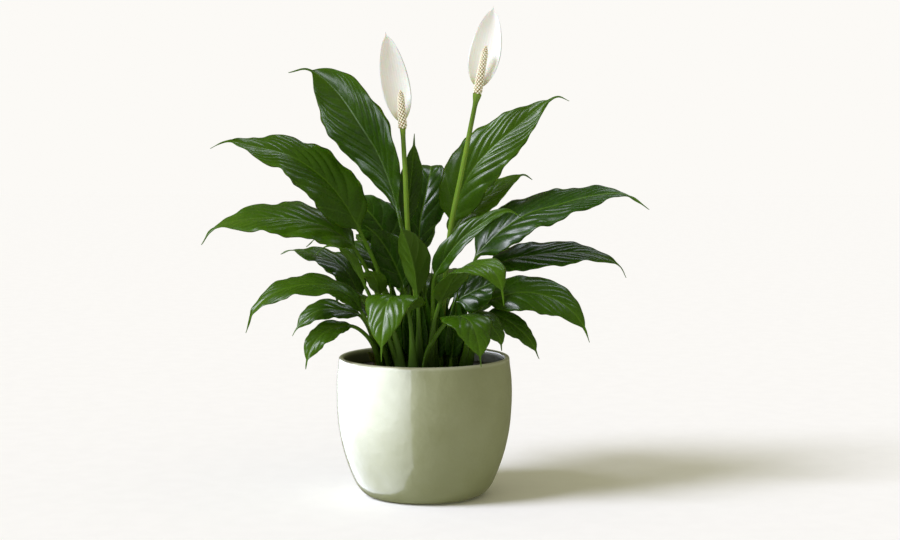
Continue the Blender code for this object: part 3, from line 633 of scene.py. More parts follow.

# Leaves painted darker (below 0) or paler (above 0) than the rest: painted shade on leaves that stand in
# shade, painted light on leaves that catch the light or glow through.
PAINTED_LIGHT_TONES = {"leaf_tall_left": 0.05, "leaf_upper_left": 0.1, "leaf_middle_left": 0.2, "leaf_lower_left": 0.15,
         "leaf_small_left": 0.15, "leaf_lowest_left": 0.25, "leaf_front_left": 0.25,
         "leaf_front_right": 0.15, "leaf_front_draped": 0.35, "leaf_front_upright": 0.1,
         "leaf_behind_tall_right": 0.9, "leaf_tall_right": 0.25,
         "leaf_back_dark": -0.35, "leaf_shade_left": -0.2, "leaf_shaded_middle": -0.3,
         "leaf_shaded_right": -0.35, "leaf_upper_right": -0.4, "leaf_middle_right": -0.1,
         "leaf_inner_left": 0.3, "leaf_narrow_left": 0.2}


def upright(direction, face):
    """The part of face that is square to direction, as a unit vector."""
    face = Vector(face)
    return (face - face.dot(direction) * direction).normalized()


def leaf_path(leaf):
    """The leaf's middle line with the way its upper side looks, and the collar's share of its length."""
    curve = [point * MM for point in spline([(*leaf.root, ROOT_Z), *leaf.collar, *leaf.ribs])]
    total = [0.0]
    for before, after in zip(curve, curve[1:]):
        total.append(total[-1] + (after - before).length)
    at_collar = 10 * len(leaf.collar)
    collar_up = upright((curve[at_collar + 1] - curve[at_collar - 1]).normalized(), leaf.base_face)
    faces = []
    for distance in total:
        share = (distance - total[at_collar]) / (total[-1] - total[at_collar])
        faces.append(collar_up if share <= 0.0 else Vector(leaf.base_face).lerp(Vector(leaf.tip_face), share))
    path = path_object(f"{leaf.name}_path", curve)
    facing = path.data.attributes.new("facing", "FLOAT_VECTOR", "POINT")
    facing.data.foreach_set("vector", [number for face in faces for number in face])
    return path, total[at_collar] / total[-1], total[-1] - total[at_collar]


def leaf_frame(tree, path, factor):
    """Middle, side and upper direction of the leaf at a share of its length."""
    facing = add_node(tree, "GeometryNodeInputNamedAttribute", {"Name": "facing"}, data_type="FLOAT_VECTOR")
    curve = add_node(tree, "GeometryNodeMeshToCurve", {"Mesh": path})
    sample = add_node(tree, "GeometryNodeSampleCurve", data_type="FLOAT_VECTOR", mode="FACTOR")
    feed(sample.inputs["Curves"], Wire(curve.outputs[0]))
    feed(sample.inputs["Value"], Wire(facing.outputs[0]))
    feed(sample.inputs["Factor"], factor)
    face = Wire(sample.outputs["Value"])
    tangent = Wire(sample.outputs["Tangent"]).vector("NORMALIZE")
    leaning = tangent.scaled(face.vector("DOT_PRODUCT", tangent, output=1))
    up = face.vector("SUBTRACT", leaning).vector("NORMALIZE")
    return Wire(sample.outputs["Position"]), tangent.vector("CROSS_PRODUCT", up), up


def leaf_tree():
    """A blade and its stalk along a path, quilted by rows that follow its side veins."""
    tree, given, result = new_tree("GeometryNodeTree", "Leaf", (
        ("Path", "NodeSocketGeometry", None), ("Collar", "NodeSocketFloat", 0.5),
        ("Width", "NodeSocketFloat", 0.06), ("Widest At", "NodeSocketFloat", 0.42),
        ("Fold", "NodeSocketFloat", 0.2), ("Ripple", "NodeSocketFloat", 0.002),
        ("Waves", "NodeSocketFloat", 4.0), ("Vein Pairs", "NodeSocketFloat", 12.0),
        ("Phase", "NodeSocketFloat", 0.0), ("Light Tone", "NodeSocketFloat", 0.0),
        ("Surface", "NodeSocketMaterial", None)), (("Mesh", "NodeSocketGeometry", None),))
    tube, row, turn = ring_tube(tree, STALK_ROWS + BLADE_ROWS + 1, LEAF_SIDES)
    stalk = (row / STALK_ROWS).math("MINIMUM", 1.0)
    vein_row = ((row - STALK_ROWS) / BLADE_ROWS).math("MAXIMUM", 0.0)
    on_blade = row.math("GREATER_THAN", STALK_ROWS - 0.5)

    # across runs from -1 at the left margin over the top to 1 at the right, and back underneath
    even = 1.0 - abs(turn * 4.0 - 2.0)
    over = abs(even)
    across = even.math("SIGN") * over ** 1.2
    over = abs(across)
    on_right = even.math("GREATER_THAN", 0.0)
    under = turn.math("GREATER_THAN", 0.5001)
    margin = over.math("GREATER_THAN", 0.9999)

    # a row leaves the midrib forwards, as a side vein does
    slant = over ** 1.15 * vein_row * (1.0 - vein_row) ** 2.0 * (6.75 * VEIN_SLANT)
    blade = (vein_row + slant).math("MINIMUM", 1.0)
    middle, side, up = leaf_frame(tree, given["Path"],
                                  stalk * given["Collar"] + blade * (1.0 - given["Collar"]))

    # outline
    body = (blade / (1.0 - DRIP_TIP)).math("MINIMUM", 1.0)
    rise = given["Widest At"] / (1.0 - given["Widest At"]) * BLUNTNESS
    outline = (body / given["Widest At"]) ** rise
    outline = outline * ((1.0 - body) / (1.0 - given["Widest At"])) ** BLUNTNESS
    drip = ((1.0 - blade) / DRIP_TIP).math("MINIMUM", 1.0) * (DRIP_RADIUS - 0.3 * MM) + 0.3 * MM
    half = ((given["Width"] * 0.5 * outline) ** 2.0 + drip ** 2.0) ** 0.5
    phase = blade * given["Waves"] * (2 * math.pi) + given["Phase"] + (1.0 - on_right) * 1.9
    notch = (phase * 1.3).math("SINE") * 0.6 + (phase * 3.1 + 2.0).math("SINE") * 0.4
    half = half * (1.0 + notch * over ** 2.0 * MARGIN_NOTCH)

    # fold, droop and the wavy margin
    swell = (blade * math.pi).math("SINE").math("MAXIMUM", 0.0) ** 0.5
    wave = phase.math("SINE") + (phase * 2.3 + 1.0).math("SINE") * 0.35
    wave = wave * swell * given["Ripple"] * over ** 2.2
    lift = half * over * given["Fold"].math("SINE") - half * over ** 2.0 * 0.22 + wave
    out = half * across * given["Fold"].math("COSINE")

    # quilting between the veins, the groove of the midrib and the keel below it
    veins = vein_row * given["Vein Pairs"] + on_right * 0.5
    pillow = abs((veins * math.pi).math("SINE")).math("MAXIMUM", 0.0001) ** 0.75 - 0.62
    reach = over.smooth(0.02, 0.22) * over.smooth(0.97, 0.72) * vein_row.smooth(0.0, 0.07)
    reach = reach * vein_row.smooth(0.92, 0.45) * (half / (25 * MM)).math("MINIMUM", 1.3)
    quilt = pillow * reach * QUILT
    near_rib = ((out / (1.5 * MM)) ** 2.0 * -1.0).math("EXPONENT")
    fine = blade.smooth(1.0, 0.1, 0.25, 1.0)
    groove = near_rib * fine * (0.55 * MM) * (1.0 - under)
    keel = near_rib * fine * (1.1 * MM) * under
    shell = (1.0 - over ** 6.0) * (0.5 * BLADE_THICKNESS) * (1.0 - under * 2.0)
    raised = lift + quilt + shell - groove - keel

    # the stalk is round and flows into the blade
    angle = turn * (2 * math.pi)
    round_size = (1.0 - stalk) * (STALK_BASE_RADIUS - STALK_TOP_RADIUS) + STALK_TOP_RADIUS
    sheath = stalk.smooth(0.8, 0.12, 1.0, STALK_SHEATH)
    flat = blade.smooth(0.0, 0.09) * on_blade
    out = angle.math("COSINE") * -1.0 * round_size * sheath * (1.0 - flat) + out * flat
    raised = angle.math("SINE") * round_size * (1.0 - flat) + raised * flat
    position = middle.vector("ADD", side.scaled(out)).vector("ADD", up.scaled(raised))

    leaf = placed(tree, tube, position)
    lower = under * (1.0 - margin) + margin * 0.5
    leaf = stored(tree, leaf, "leaf_place", combine(tree, across, blade, lower))
    leaf = stored(tree, leaf, "leaf_vein", combine(tree, veins, abs(out), stalk))
    # each leaf's painted light or painted shade tone
    leaf = stored(tree, leaf, "leaf_light_tone", given["Light Tone"], "FLOAT")
    close_tree(tree, leaf, given["Surface"], result)
    return tree


def read_value(tree, name):
    """A value that a piece carries, as a vector wire."""
    node = add_node(tree, "ShaderNodeAttribute", attribute_name=name)
    return Wire(node.outputs["Vector"])


def vein_group():
    """Where midrib, side veins and fine veins show on a blade, and how high the fine ones stand."""
    tree, given, result = new_tree("ShaderNodeTree", "Leaf veins", (
        ("Veins", "NodeSocketFloat", 0.0), ("Rib Distance", "NodeSocketFloat", 0.0),
        ("Rib Width", "NodeSocketFloat", 0.8 * MM), ("Place", "NodeSocketVector", None)), (
        ("Rib", "NodeSocketFloat", None), ("Side Veins", "NodeSocketFloat", None),
        ("Height", "NodeSocketFloat", None)))
    rib = given["Rib Distance"].smooth(given["Rib Width"] * 0.5, given["Rib Width"] * 1.5, 1.0, 0.0)
    to_vein = 0.5 - abs(given["Veins"].math("FRACT") - 0.5)
    side = to_vein.smooth(0.0, 0.07, 1.0, 0.0)
    wander = noise(tree, given["Place"], 120.0, 2.0)
    fine = ((given["Veins"] * 9.0 + wander * 1.2) * (2 * math.pi)).math("SINE") * 0.5 + 0.5
    cells = add_node(tree, "ShaderNodeTexVoronoi", {"Vector": given["Place"], "Scale": 900.0})
    height = fine * 0.55 + Wire(cells.outputs["Distance"]) * 0.35 - side * 0.5
    feed(result.inputs["Rib"], rib)
    feed(result.inputs["Side Veins"], side)
    feed(result.inputs["Height"], height)
    return tree


def leaf_material():
    """Living leaf: deep glossy green above, paler and duller below, running into the stalk's green, with
    painted light towards the tip and painted shade down the stalk.
    """
    made, tree, shader = surface("leaf_skin", 0.3, Specular_IOR_Level=0.36,
                                 Subsurface_Weight=0.12, Subsurface_Scale=1.2 * MM)
    shader.inputs["Subsurface Radius"].default_value = (0.6, 1.0, 0.2)
    place = object_place(tree)
    _, blade, under = read_value(tree, "leaf_place").parts()
    veins, rib_distance, stalk = read_value(tree, "leaf_vein").parts()
    tone = Wire(add_node(tree, "ShaderNodeAttribute", attribute_name="leaf_light_tone").outputs["Fac"])
    marks = add_node(tree, "ShaderNodeGroup", node_tree=vein_group())
    for label, wire in (("Veins", veins), ("Rib Distance", rib_distance), ("Place", place)):
        feed(marks.inputs[label], wire)
    mottle = noise(tree, place, 45.0, 4.0)
    # painted light: paler towards the tip and by each leaf's light tone, on top of a random mottle
    paler = (mottle - 0.5) * 0.5 + blade.smooth(0.35, 1.0, 0.0, 0.35) + tone + 0.18
    colour = colour_mix(tree, paler.math("MAXIMUM", 0.0).math("MINIMUM", 1.0), LEAF_GREEN, LEAF_LIGHT)
    colour = colour_mix(tree, under * 0.75, colour, LEAF_UNDER)
    colour = colour_mix(tree, Wire(marks.outputs["Side Veins"]) * 0.35, colour, LEAF_VEIN)
    colour = colour_mix(tree, Wire(marks.outputs["Rib"]) * 0.65, colour, STALK_GREEN)
    # painted shade: the stalk darkens towards the soil
    stem = colour_mix(tree, stalk.smooth(0.15, 0.75), STALK_BASE, STALK_GREEN)
    colour = colour_mix(tree, blade.smooth(0.0, 0.05, 1.0, 0.0), colour, stem)
    feed(shader.inputs["Base Color"], colour)
    gloss = noise(tree, place, 150.0, 3.0).smooth(0.3, 0.75, 0.22, 0.34) + under * 0.2
    feed(shader.inputs["Roughness"], gloss)
    bumped(tree, shader, Wire(marks.outputs["Height"]), 0.05 * MM, 0.5)
    return made


leaf_growth = leaf_tree()
leaf_skin = leaf_material()


def grow_leaf(leaf, number, skin, tone):
    """One leaf or sheath as a plain mesh piece."""
    path, collar, length = leaf_path(leaf)
    return grown(f"{leaf.name}_blade", path, leaf_growth, {
        "Collar": collar, "Width": leaf.width * MM, "Widest At": leaf.peak,
        "Fold": math.radians(leaf.fold), "Ripple": leaf.ripple * MM, "Waves": float(leaf.waves),
        "Vein Pairs": float(max(5, round(length / VEIN_SPACING))), "Phase": number * 1.7,
        "Light Tone": tone, "Surface": skin})


for number, leaf in enumerate(LEAVES):
    blade = grow_leaf(leaf, number, leaf_skin, PAINTED_LIGHT_TONES.get(leaf.name, 0.0))
    finish_as(blade, "leaf", leaf.name)

# --- Young leaves ----------------------------------------------------------------------------------
# Short furled leaves that stand in the heart of the clump, between the stalks of the grown ones.
# They are darker for the shade that they stand in.

YOUNG_COUNT = 20
GOLDEN_TURN = math.radians(137.508)     # from one leaf to the next round the heart of a plant
YOUNG_EAST = 36.0          # half the clump's width and depth at the soil, in millimetres
YOUNG_NORTH = 20.0
YOUNG_TOP = 234.0
YOUNG_WIDTH = 24.0
YOUNG_FOLD = 42.0
YOUNG_TONE = -0.35

for number in range(YOUNG_COUNT):
    spread = math.sqrt((number + 0.5) / YOUNG_COUNT)
    east = math.cos(number * GOLDEN_TURN) * spread
    north = math.sin(number * GOLDEN_TURN) * spread
    top = YOUNG_TOP - 24.0 * spread - 8.0 * (number % 3)
    furled = Leaf(f"young_leaf_{number + 1}", (YOUNG_EAST * east, YOUNG_NORTH * north),
                  ((38 * east, 21 * north, 124), (40 * east, 23 * north, 138)),
                  ((43 * east, 26 * north, 160), (46 * east, 29 * north, 184), (50 * east, 33 * north, top)),
                  YOUNG_WIDTH, 0.36, (0.3 * east, -1.0, 0.2), (0.3 * east, -1.0, 0.3), YOUNG_FOLD, 0.5, 2.0)
    finish_as(grow_leaf(furled, number, leaf_skin, YOUNG_TONE), "leaf")

# --- Old sheath ------------------------------------------------------------------------------------
# The short dry foot of a leaf that has gone, yellow-green and papery, still standing in the soil.

OLD_SHEATH = Leaf("old_sheath", (-44, 4), ((-46, 3, 124), (-49, 2, 133)),
                  ((-51, 1, 137), (-54, 0, 141), (-57, -1, 144)),
                  9, 0.42, (0.5, -0.8, 0.2), (0.5, -0.8, 0.2), 20, 0.2, 1.0)
SHEATH_FRESH = (0.24, 0.31, 0.025)
SHEATH_DRY = (0.21, 0.19, 0.03)


def sheath_material():
    """Papery skin with long fibres, browning in patches."""
    made, tree, shader = surface("sheath_skin", 0.6)
    place = object_place(tree)
    across, _, _ = read_value(tree, "leaf_place").parts()
    patches = noise(tree, place, 180.0, 3.0)
    fibres = (across * 60.0 + patches * 3.0).math("SINE")
    feed(shader.inputs["Base Color"], colour_mix(tree, patches.smooth(0.4, 0.65), SHEATH_FRESH, SHEATH_DRY))
    feed(shader.inputs["Roughness"], patches.smooth(0.2, 0.8, 0.5, 0.8))
    bumped(tree, shader, fibres, 0.15 * MM)
    return made


finish_as(grow_leaf(OLD_SHEATH, 0, sheath_material(), 0.0), "dry_sheath", "old_sheath")

# --- Flower stems ----------------------------------------------------------------------------------
# Two slim smooth stems, a little ribbed, pale yellow-green and paler towards the flower, with a
# small cup below it.

STEM_BASE_RADIUS = 3.0 * MM
STEM_TOP_RADIUS = 2.3 * MM
STEM_SIDES = 24
STEM_GREEN = (0.090, 0.200, 0.009)
STEM_PALE = (0.230, 0.370, 0.038)
STEM_DEEP = (0.035, 0.085, 0.004)

Flower = namedtuple("Flower", "name root stem spadix_top spathe width face cup")

# In millimetres, as the solids were laid out: root on the soil (x, y), points up the stem with the
# top last, the spadix's tip, points up the middle of the spathe, the spathe's width, the way its
# inner side looks, and how much the stem flares below the flower.
FLOWERS = (
    Flower("left", (-1, -6), ((-8, -8, 200), (-16, -9, 268), (-18.5, -9, 322), (-21, -9, 369)),
           (-23, -9.5, 406),
           ((-22, -4.6, 375), (-25, -1, 392), (-30, 1, 418), (-35, -1, 446), (-38, -5, 464)),
           42, (0.15, -1.0, 0.1), 0.6),
    Flower("right", (14, -4), ((20, -10, 200), (27, -12, 272), (38, -13, 327), (46, -13, 368),
                               (53, -13, 403)),
           (61.5, -13.5, 450),
           ((54, -8.4, 409), (58, -5, 428), (63, -3, 452), (67, -5, 474), (69, -9, 489)),
           46, (-0.1, -1.0, 0.1), 2.2),
)


def stem_tree():
    """A round, softly ribbed tube along a path."""
    tree, given, result = new_tree("GeometryNodeTree", "Ribbed stem", (
        ("Path", "NodeSocketGeometry", None), ("Rows", "NodeSocketInt", 60),
        ("Base Radius", "NodeSocketFloat", STEM_BASE_RADIUS),
        ("Top Radius", "NodeSocketFloat", STEM_TOP_RADIUS), ("Ribs", "NodeSocketFloat", 9.0),
        ("Rib Height", "NodeSocketFloat", 0.07 * MM), ("Flare", "NodeSocketFloat", 0.0),
        ("Surface", "NodeSocketMaterial", None)), (("Mesh", "NodeSocketGeometry", None),))
    tube, row, turn = ring_tube(tree, given["Rows"], STEM_SIDES)
    share = row / (given["Rows"] - 1.0)
    curve = add_node(tree, "GeometryNodeMeshToCurve", {"Mesh": given["Path"]})
    sample = add_node(tree, "GeometryNodeSampleCurve", mode="FACTOR")
    feed(sample.inputs["Curves"], Wire(curve.outputs[0]))
    feed(sample.inputs["Factor"], share)
    tangent = Wire(sample.outputs["Tangent"]).vector("NORMALIZE")
    side = tangent.vector("CROSS_PRODUCT", combine(tree, 0.0, -1.0, 0.0)).vector("NORMALIZE")
    up = side.vector("CROSS_PRODUCT", tangent)
    angle = turn * (2 * math.pi)
    radius = given["Base Radius"] + (given["Top Radius"] - given["Base Radius"]) * share
    radius = radius + (angle * given["Ribs"]).math("SINE") * given["Rib Height"]
    radius = radius + share.smooth(0.955, 1.0) ** 1.5 * given["Flare"]
    position = Wire(sample.outputs["Position"]).vector(
        "ADD", side.scaled(angle.math("COSINE") * -1.0 * radius)).vector(
        "ADD", up.scaled(angle.math("SINE") * radius))
    stem = stored(tree, placed(tree, tube, position), "stem_place", combine(tree, turn, share, 0.0))
    close_tree(tree, stem, given["Surface"], result)
    return tree


def stem_material():
    """Smooth living stem with long pale fibres, paler towards its top and deep green just below it."""
    made, tree, shader = surface("stem_skin", 0.35, IOR=1.45, Subsurface_Weight=0.15,
                                 Subsurface_Scale=1.5 * MM)
    place = object_place(tree)
    turn, share, _ = read_value(tree, "stem_place").parts()
    streak = add_node(tree, "ShaderNodeTexNoise", {"Scale": 1.0, "Detail": 3.0, "Vector": combine(
        tree, (turn * (2 * math.pi)).math("COSINE") * 4.0, (turn * (2 * math.pi)).math("SINE") * 4.0,
        share * 8.0)})
    streak = Wire(streak.outputs["Fac"])
    paler = streak.smooth(0.35, 0.7, 0.0, 0.6) + share.smooth(0.3, 0.9, 0.0, 0.35)
    colour = colour_mix(tree, paler.math("MINIMUM", 1.0), STEM_GREEN, STEM_PALE)
    below_flower = share.smooth(0.80, 0.93, 0.0, 0.5) * share.smooth(1.0, 0.955)
    colour = colour_mix(tree, below_flower, colour, STEM_DEEP)
    feed(shader.inputs["Base Color"], colour)
    feed(shader.inputs["Roughness"], noise(tree, place, 200.0).smooth(0.3, 0.7, 0.28, 0.42))
    bumped(tree, shader, streak, 0.15 * MM)
    return made


stem_growth = stem_tree()
stem_skin = stem_material()
for flower in FLOWERS:
    stem_points = [point * MM for point in spline([(*flower.root, ROOT_Z), *flower.stem])]
    stem = grown(f"stem_{flower.name}", path_object("stem_path", stem_points), stem_growth, {
        "Rows": 70, "Base Radius": STEM_BASE_RADIUS, "Top Radius": STEM_TOP_RADIUS, "Ribs": 9.0,
        "Rib Height": 0.07 * MM, "Flare": flower.cup * MM, "Surface": stem_skin})
    finish_as(stem, "stem", f"flower_stem_{flower.name}")

# --- Spadices --------------------------------------------------------------------------------------
# The fleshy cream spike of each flower, set all over with small four-sided florets in a close
# spiral.  Each floret has a darker, greenish dimple in its middle.

SPADIX_RADIUS = 3.6 * MM
SPADIX_ROWS = 40
SPADIX_SIDES = 32
FLORET_WIDTH = 2.5 * MM
FLORETS_PER_MM = 3.6
CREAM = (0.95, 0.92, 0.74)
# painted shade for the gaps between florets
CREAM_SHADED = (0.42, 0.31, 0.11)
DIMPLE = (0.62, 0.54, 0.26)


def spadix_tree():
    """A blunt spike along Z with florets on a spiral."""
    tree, given, result = new_tree("GeometryNodeTree", "Spadix", (
        ("Path", "NodeSocketGeometry", None), ("Length", "NodeSocketFloat", 40 * MM),
        ("Radius", "NodeSocketFloat", SPADIX_RADIUS), ("Florets", "NodeSocketInt", 220),
        ("Surface", "NodeSocketMaterial", None)), (("Mesh", "NodeSocketGeometry", None),))

    def radius_at(share):
        taper = (1.0 - share * 0.42) * given["Radius"]
        return taper * (1.0 - share.smooth(0.78, 1.06) ** 2.0) * share.smooth(-0.03, 0.06, 0.6, 1.0)

    tube, row, turn = ring_tube(tree, SPADIX_ROWS, SPADIX_SIDES)
    share = row / (SPADIX_ROWS - 1.0)
    angle = turn * (2 * math.pi)
    dome = (1.0 - share.smooth(0.93, 1.0) ** 3.0 * 0.85) * radius_at(share)
    core = placed(tree, tube, combine(tree, angle.math("COSINE") * dome * -1.0, angle.math("SINE") * dome,
                                      share * given["Length"]))
    core = stored(tree, core, "floret_place", combine(tree, 1.0, share, 0.0))

    cloud = add_node(tree, "GeometryNodePoints", {"Count": given["Florets"]})
    number = index_of(tree)
    along = (number + 0.5) / given["Florets"]
    spin = number * GOLDEN_TURN
    reach = radius_at(along)
    east = spin.math("COSINE")
    north = spin.math("SINE")
    spots = placed(tree, Wire(cloud.outputs[0]),
                   combine(tree, east * reach, north * reach, along * given["Length"]))
    outward = combine(tree, east, north, along.smooth(0.85, 1.0, 0.0, 2.0))
    facing = add_node(tree, "FunctionNodeAlignRotationToVector", {"Vector": outward}, axis="Z")
    floret = add_node(tree, "GeometryNodeMeshUVSphere", {"Segments": 8, "Rings": 5, "Radius": 1.0})
    height = Wire(add_node(tree, "GeometryNodeInputPosition").outputs[0]).parts()[2]
    shaped = stored(tree, Wire(floret.outputs[0]), "floret_place", combine(tree, 0.0, 0.0, height))
    size = FLORET_WIDTH * 0.5
    near_top = along.smooth(0.8, 1.0, 1.0, 0.6)
    florets = add_node(tree, "GeometryNodeInstanceOnPoints", {
        "Points": spots, "Instance": shaped, "Rotation": Wire(facing.outputs[0]),
        "Scale": combine(tree, near_top * size, near_top * size, near_top * size * 1.1)})
    joined = tree.nodes.new("GeometryNodeJoinGeometry")
    tree.links.new(Wire(florets.outputs[0]).socket, joined.inputs[0])
    tree.links.new(core.socket, joined.inputs[0])
    close_tree(tree, Wire(joined.outputs[0]), given["Surface"], result)
    return tree


def spadix_material():
    """Cream florets with a brownish dimple on top and painted shade in the gaps between them."""
    made, tree, shader = surface("spadix_flesh", 0.6, Subsurface_Weight=0.1, Subsurface_Scale=0.8 * MM)
    place = object_place(tree)
    core, _, height = read_value(tree, "floret_place").parts()
    # painted shade: the core and the lower sides of the florets are darkened where they sink into the gaps
    gap_shade = height.smooth(0.0, 0.55, 1.0, 0.0).math("MAXIMUM", core)
    colour = colour_mix(tree, gap_shade, CREAM, CREAM_SHADED)
    colour = colour_mix(tree, height.smooth(0.88, 1.0, 0.0, 0.55), colour, DIMPLE)
    feed(shader.inputs["Base Color"], colour)
    feed(shader.inputs["Roughness"], noise(tree, place, 400.0).smooth(0.3, 0.7, 0.5, 0.7))
    bumped(tree, shader, noise(tree, place, 2500.0), 0.1 * MM)
    return made


def stand_along(piece, foot, top):
    """Move a mesh that was made up the Z axis so that it runs from foot to top."""
    lean = Vector((0.0, 0.0, 1.0)).rotation_difference(top - foot)
    for vertex in piece.data.vertices:
        vertex.co = lean @ vertex.co + foot
    piece.data.update()


spadix_growth = spadix_tree()
spadix_flesh = spadix_material()
for flower in FLOWERS:
    foot = Vector(flower.stem[-1]) * MM
    top = Vector(flower.spadix_top) * MM
    length = (top - foot).length
    spadix = grown(f"spike_{flower.name}", path_object("spadix_path", [foot, top]), spadix_growth, {
        "Length": length, "Radius": SPADIX_RADIUS, "Florets": int(length / MM * FLORETS_PER_MM),
        "Surface": spadix_flesh})
    stand_along(spadix, foot, top)
    finish_as(spadix, "spadix", f"spadix_{flower.name}")

# --- Spathes ---------------------------------------------------------------------------------------
# The white hood behind each spike: one thin bract, hollowed towards the spike, pointed, with fine
# lengthwise veins, and greenish at its foot and along the back of its middle.

SPATHE_ROWS = 91
SPATHE_SIDES = 48
SPATHE_THICKNESS = 0.6 * MM
SPATHE_HOLLOW = 0.34
WHITE = (0.95, 0.95, 0.92)
WHITE_GREEN = (0.42, 0.52, 0.18)


def spathe_tree():
    """A hollowed, pointed bract along a path."""
    tree, given, result = new_tree("GeometryNodeTree", "Spathe", (
        ("Path", "NodeSocketGeometry", None), ("Width", "NodeSocketFloat", 0.04),
        ("Hollow", "NodeSocketFloat", SPATHE_HOLLOW), ("Surface", "NodeSocketMaterial", None)),
        (("Mesh", "NodeSocketGeometry", None),))
    tube, row, turn = ring_tube(tree, SPATHE_ROWS, SPATHE_SIDES)
    share = row / (SPATHE_ROWS - 1.0)
    middle, side, up = leaf_frame(tree, given["Path"], share)
    across = 1.0 - abs(turn * 4.0 - 2.0)
    over = abs(across)
    under = turn.math("GREATER_THAN", 0.5001)
    outline = (share ** 0.55) * ((1.0 - share).math("MAXIMUM", 0.0) ** 0.8) * 1.7
    half = given["Width"] * 0.5 * (outline.math("MAXIMUM", 0.08) * share.smooth(1.0, 0.9, 0.15, 1.0))
    curl = (share * 9.0).math("SINE") * over ** 3.0 * (1.0 * MM)
    ribs = (across * 38.0).math("SINE") * (0.06 * MM)
    shell = (1.0 - over ** 6.0) * (0.5 * SPATHE_THICKNESS) * (1.0 - under * 2.0)
    keel = ((across * half / (1.2 * MM)) ** 2.0 * -1.0).math("EXPONENT") * (0.7 * MM) * under
    raised = half * over ** 2.0 * given["Hollow"] + curl + ribs + shell - keel
    position = middle.vector("ADD", side.scaled(half * across)).vector("ADD", up.scaled(raised))
    bract = stored(tree, placed(tree, tube, position), "spathe_place",
                   combine(tree, across * half, share, under))
    close_tree(tree, bract, given["Surface"], result)
    return tree


def spathe_material():
    """Soft white bract, green at its foot and down the back of its middle."""
    made, tree, shader = surface("spathe_skin", 0.45, Subsurface_Weight=0.3, Subsurface_Scale=1.5 * MM)
    place = object_place(tree)
    across, share, under = read_value(tree, "spathe_place").parts()
    veins = (across * 2600.0).math("SINE") * 0.5 + 0.5
    middle = abs(across).smooth(0.8 * MM, 4.0 * MM, 0.55, 0.0) * under
    green = share.smooth(0.0, 0.16, 0.8, 0.0).math("MAXIMUM", middle * share.smooth(1.0, 0.3))
    green = (green + noise(tree, place, 120.0) * 0.06).math("MINIMUM", 1.0)
    feed(shader.inputs["Base Color"], colour_mix(tree, green, WHITE, WHITE_GREEN))
    feed(shader.inputs["Roughness"], noise(tree, place, 160.0).smooth(0.3, 0.7, 0.38, 0.55))
    bumped(tree, shader, veins, 0.05 * MM)
    return made


spathe_growth = spathe_tree()
spathe_skin = spathe_material()
for flower in FLOWERS:
    spathe_points = [point * MM for point in spline(flower.spathe)]
    path = path_object("spathe_path", spathe_points)
    facing = path.data.attributes.new("facing", "FLOAT_VECTOR", "POINT")
    facing.data.foreach_set("vector", list(flower.face) * len(spathe_points))
    spathe = grown(f"hood_{flower.name}", path, spathe_growth,
                   {"Width": flower.width * MM, "Hollow": SPATHE_HOLLOW, "Surface": spathe_skin})
    finish_as(spathe, "spathe", f"spathe_{flower.name}")

# --- Stage -----------------------------------------------------------------------------------------
# A plain off-white floor under even studio light: one broad cool key from the left and a little from
# the front, and a warm surround that fills the shadows.  A tall soft box shows in the glaze, and two
# smaller panels gleam on the leaves.

FLOOR_HALF = 6.0
FLOOR_TOP = -0.0005        # a hair below the pot, which stands on it
PAPER = (0.92, 0.92, 0.92)
BACKGROUND = (0.973, 0.955, 0.922)      # what the camera sees past the floor, and the lit floor too
FILL = (0.457, 0.435, 0.293)
FILL_IN_GLOSS = (0.180, 0.180, 0.100)
KEY_TOWARDS = Vector((0.90, 0.42, -0.85))
KEY_STRENGTH = 3.45
KEY_COLOUR = (0.848, 0.850, 1.0)
KEY_SPREAD = math.radians(26.0)
# Glowing panels that show in glossy surfaces only: strength, the share of it that is left towards
# the back, then the four corners.
SOFT_BOX = (13.5, 0.8, (-0.42, -1.45, -1.2), (-1.59, 3.20, -1.2), (-1.59, 3.20, 0.45), (-0.42, -1.45, 0.45))
SIDE_GLOW = (7.5, 1.0, (-0.17, -0.24, 0.20), (-0.35, 0.02, 0.20), (-0.35, 0.02, 0.30), (-0.17, -0.24, 0.30))
TOP_GLOW = (6.0, 1.0, (0.00, 0.25, 1.35), (1.10, 0.10, 1.35), (1.10, 0.35, 1.35), (0.00, 0.55, 1.35))
CAMERA_PLACE = (0.026, -1.913, 0.402)
CAMERA_TILT = math.radians(90.0 - 5.23)
CAMERA_LENS = 76.52


def paper_material():
    """Matt off-white paper with a hardly visible grain."""
    made, tree, shader = surface("floor_paper", 0.95, Specular_IOR_Level=0.0)
    grain = noise(tree, object_place(tree), 40.0, 2.0).smooth(0.3, 0.7)
    softer = tuple(channel * 0.985 for channel in PAPER)
    feed(shader.inputs["Base Color"], colour_mix(tree, grain, softer, PAPER))
    return made


floor_corners = [(FLOOR_HALF * east, FLOOR_HALF * north, FLOOR_TOP)
                 for east, north in ((-1, -1), (1, -1), (1, 1), (-1, 1))]
floor = mesh_object("floor", floor_corners, (), [(0, 1, 2, 3)])
floor.data.materials.append(paper_material())

key = bpy.data.lights.new("key", "SUN")
key.energy = KEY_STRENGTH
key.color = KEY_COLOUR
key.angle = KEY_SPREAD
key_light = bpy.data.objects.new("key", key)
key_light.rotation_euler = KEY_TOWARDS.to_track_quat("-Z", "Y").to_euler()
bpy.context.scene.collection.objects.link(key_light)


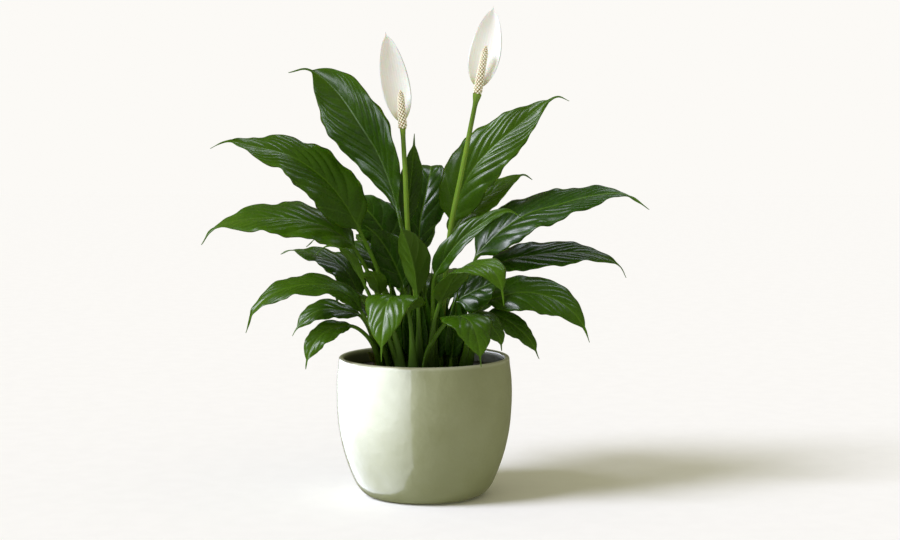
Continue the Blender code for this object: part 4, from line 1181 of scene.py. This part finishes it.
def glow_material(name, strength, back_share):
    """A lit cloth, a little uneven, and dimmer at its front, back and foot."""
    made = bpy.data.materials.new(name)
    made.use_nodes = True
    tree = made.node_tree
    tree.nodes.clear()
    place = object_place(tree)
    _, y, z = place.parts()
    cloth = noise(tree, place, 3.0, 2.0).smooth(0.3, 0.7, 0.9, 1.0)
    cloth = cloth * y.smooth(-1.3, -0.2, 0.55, 1.0) * z.smooth(-0.5, 0.1, 0.45, 1.0)
    cloth = cloth * y.smooth(-0.35, 0.15, 1.0, back_share)
    glow = add_node(tree, "ShaderNodeEmission", {"Color": combine(tree, cloth * 0.92, cloth * 0.95,
                                                                  cloth * 1.12)})
    glow.inputs["Strength"].default_value = strength
    output = tree.nodes.new("ShaderNodeOutputMaterial")
    tree.links.new(glow.outputs[0], output.inputs["Surface"])
    return made


def glowing_panel(name, strength, back_share, *corners):
    """A panel that lights nothing and shows in glossy surfaces only."""
    panel = mesh_object(name, corners, (), [(0, 1, 2, 3)])
    panel.data.materials.append(glow_material(f"{name}_cloth", strength, back_share))
    panel.visible_camera = False
    panel.visible_diffuse = False
    panel.visible_shadow = False
    panel.visible_transmission = False
    return panel


# The soft box reaches below the floor, which reflections leave out, so that it shows down to the
# foot of the pot.
floor.visible_glossy = False
SHOWN_IN = (("soft_box", SOFT_BOX, "pot_wall"), ("side_glow", SIDE_GLOW, "leaf_tall_left_blade"),
            ("top_glow", TOP_GLOW, "pot_wall"))
for name, glow, shown_in in SHOWN_IN:
    reach = bpy.data.collections.new(f"{name}_reach")
    reach.objects.link(bpy.data.objects[shown_in])
    if name == "top_glow":
        reach.collection_objects[0].light_linking.link_state = "EXCLUDE"
    glowing_panel(name, *glow).light_linking.receiver_collection = reach

world = bpy.data.worlds.new("surround")
bpy.context.scene.world = world
world.use_nodes = True
sky = world.node_tree.nodes["Background"]
ray = add_node(world.node_tree, "ShaderNodeLightPath")
around = colour_mix(world.node_tree, Wire(ray.outputs["Is Glossy Ray"]), FILL, FILL_IN_GLOSS)
feed(sky.inputs["Color"], colour_mix(world.node_tree, Wire(ray.outputs["Is Camera Ray"]), around, BACKGROUND))

camera_data = bpy.data.cameras.new("camera")
camera_data.lens = CAMERA_LENS
camera = bpy.data.objects.new("camera", camera_data)
camera.location = CAMERA_PLACE
camera.rotation_euler = (CAMERA_TILT, 0.0, 0.0)
bpy.context.scene.collection.objects.link(camera)
bpy.context.scene.camera = camera
bpy.context.scene.view_settings.view_transform = "Standard"
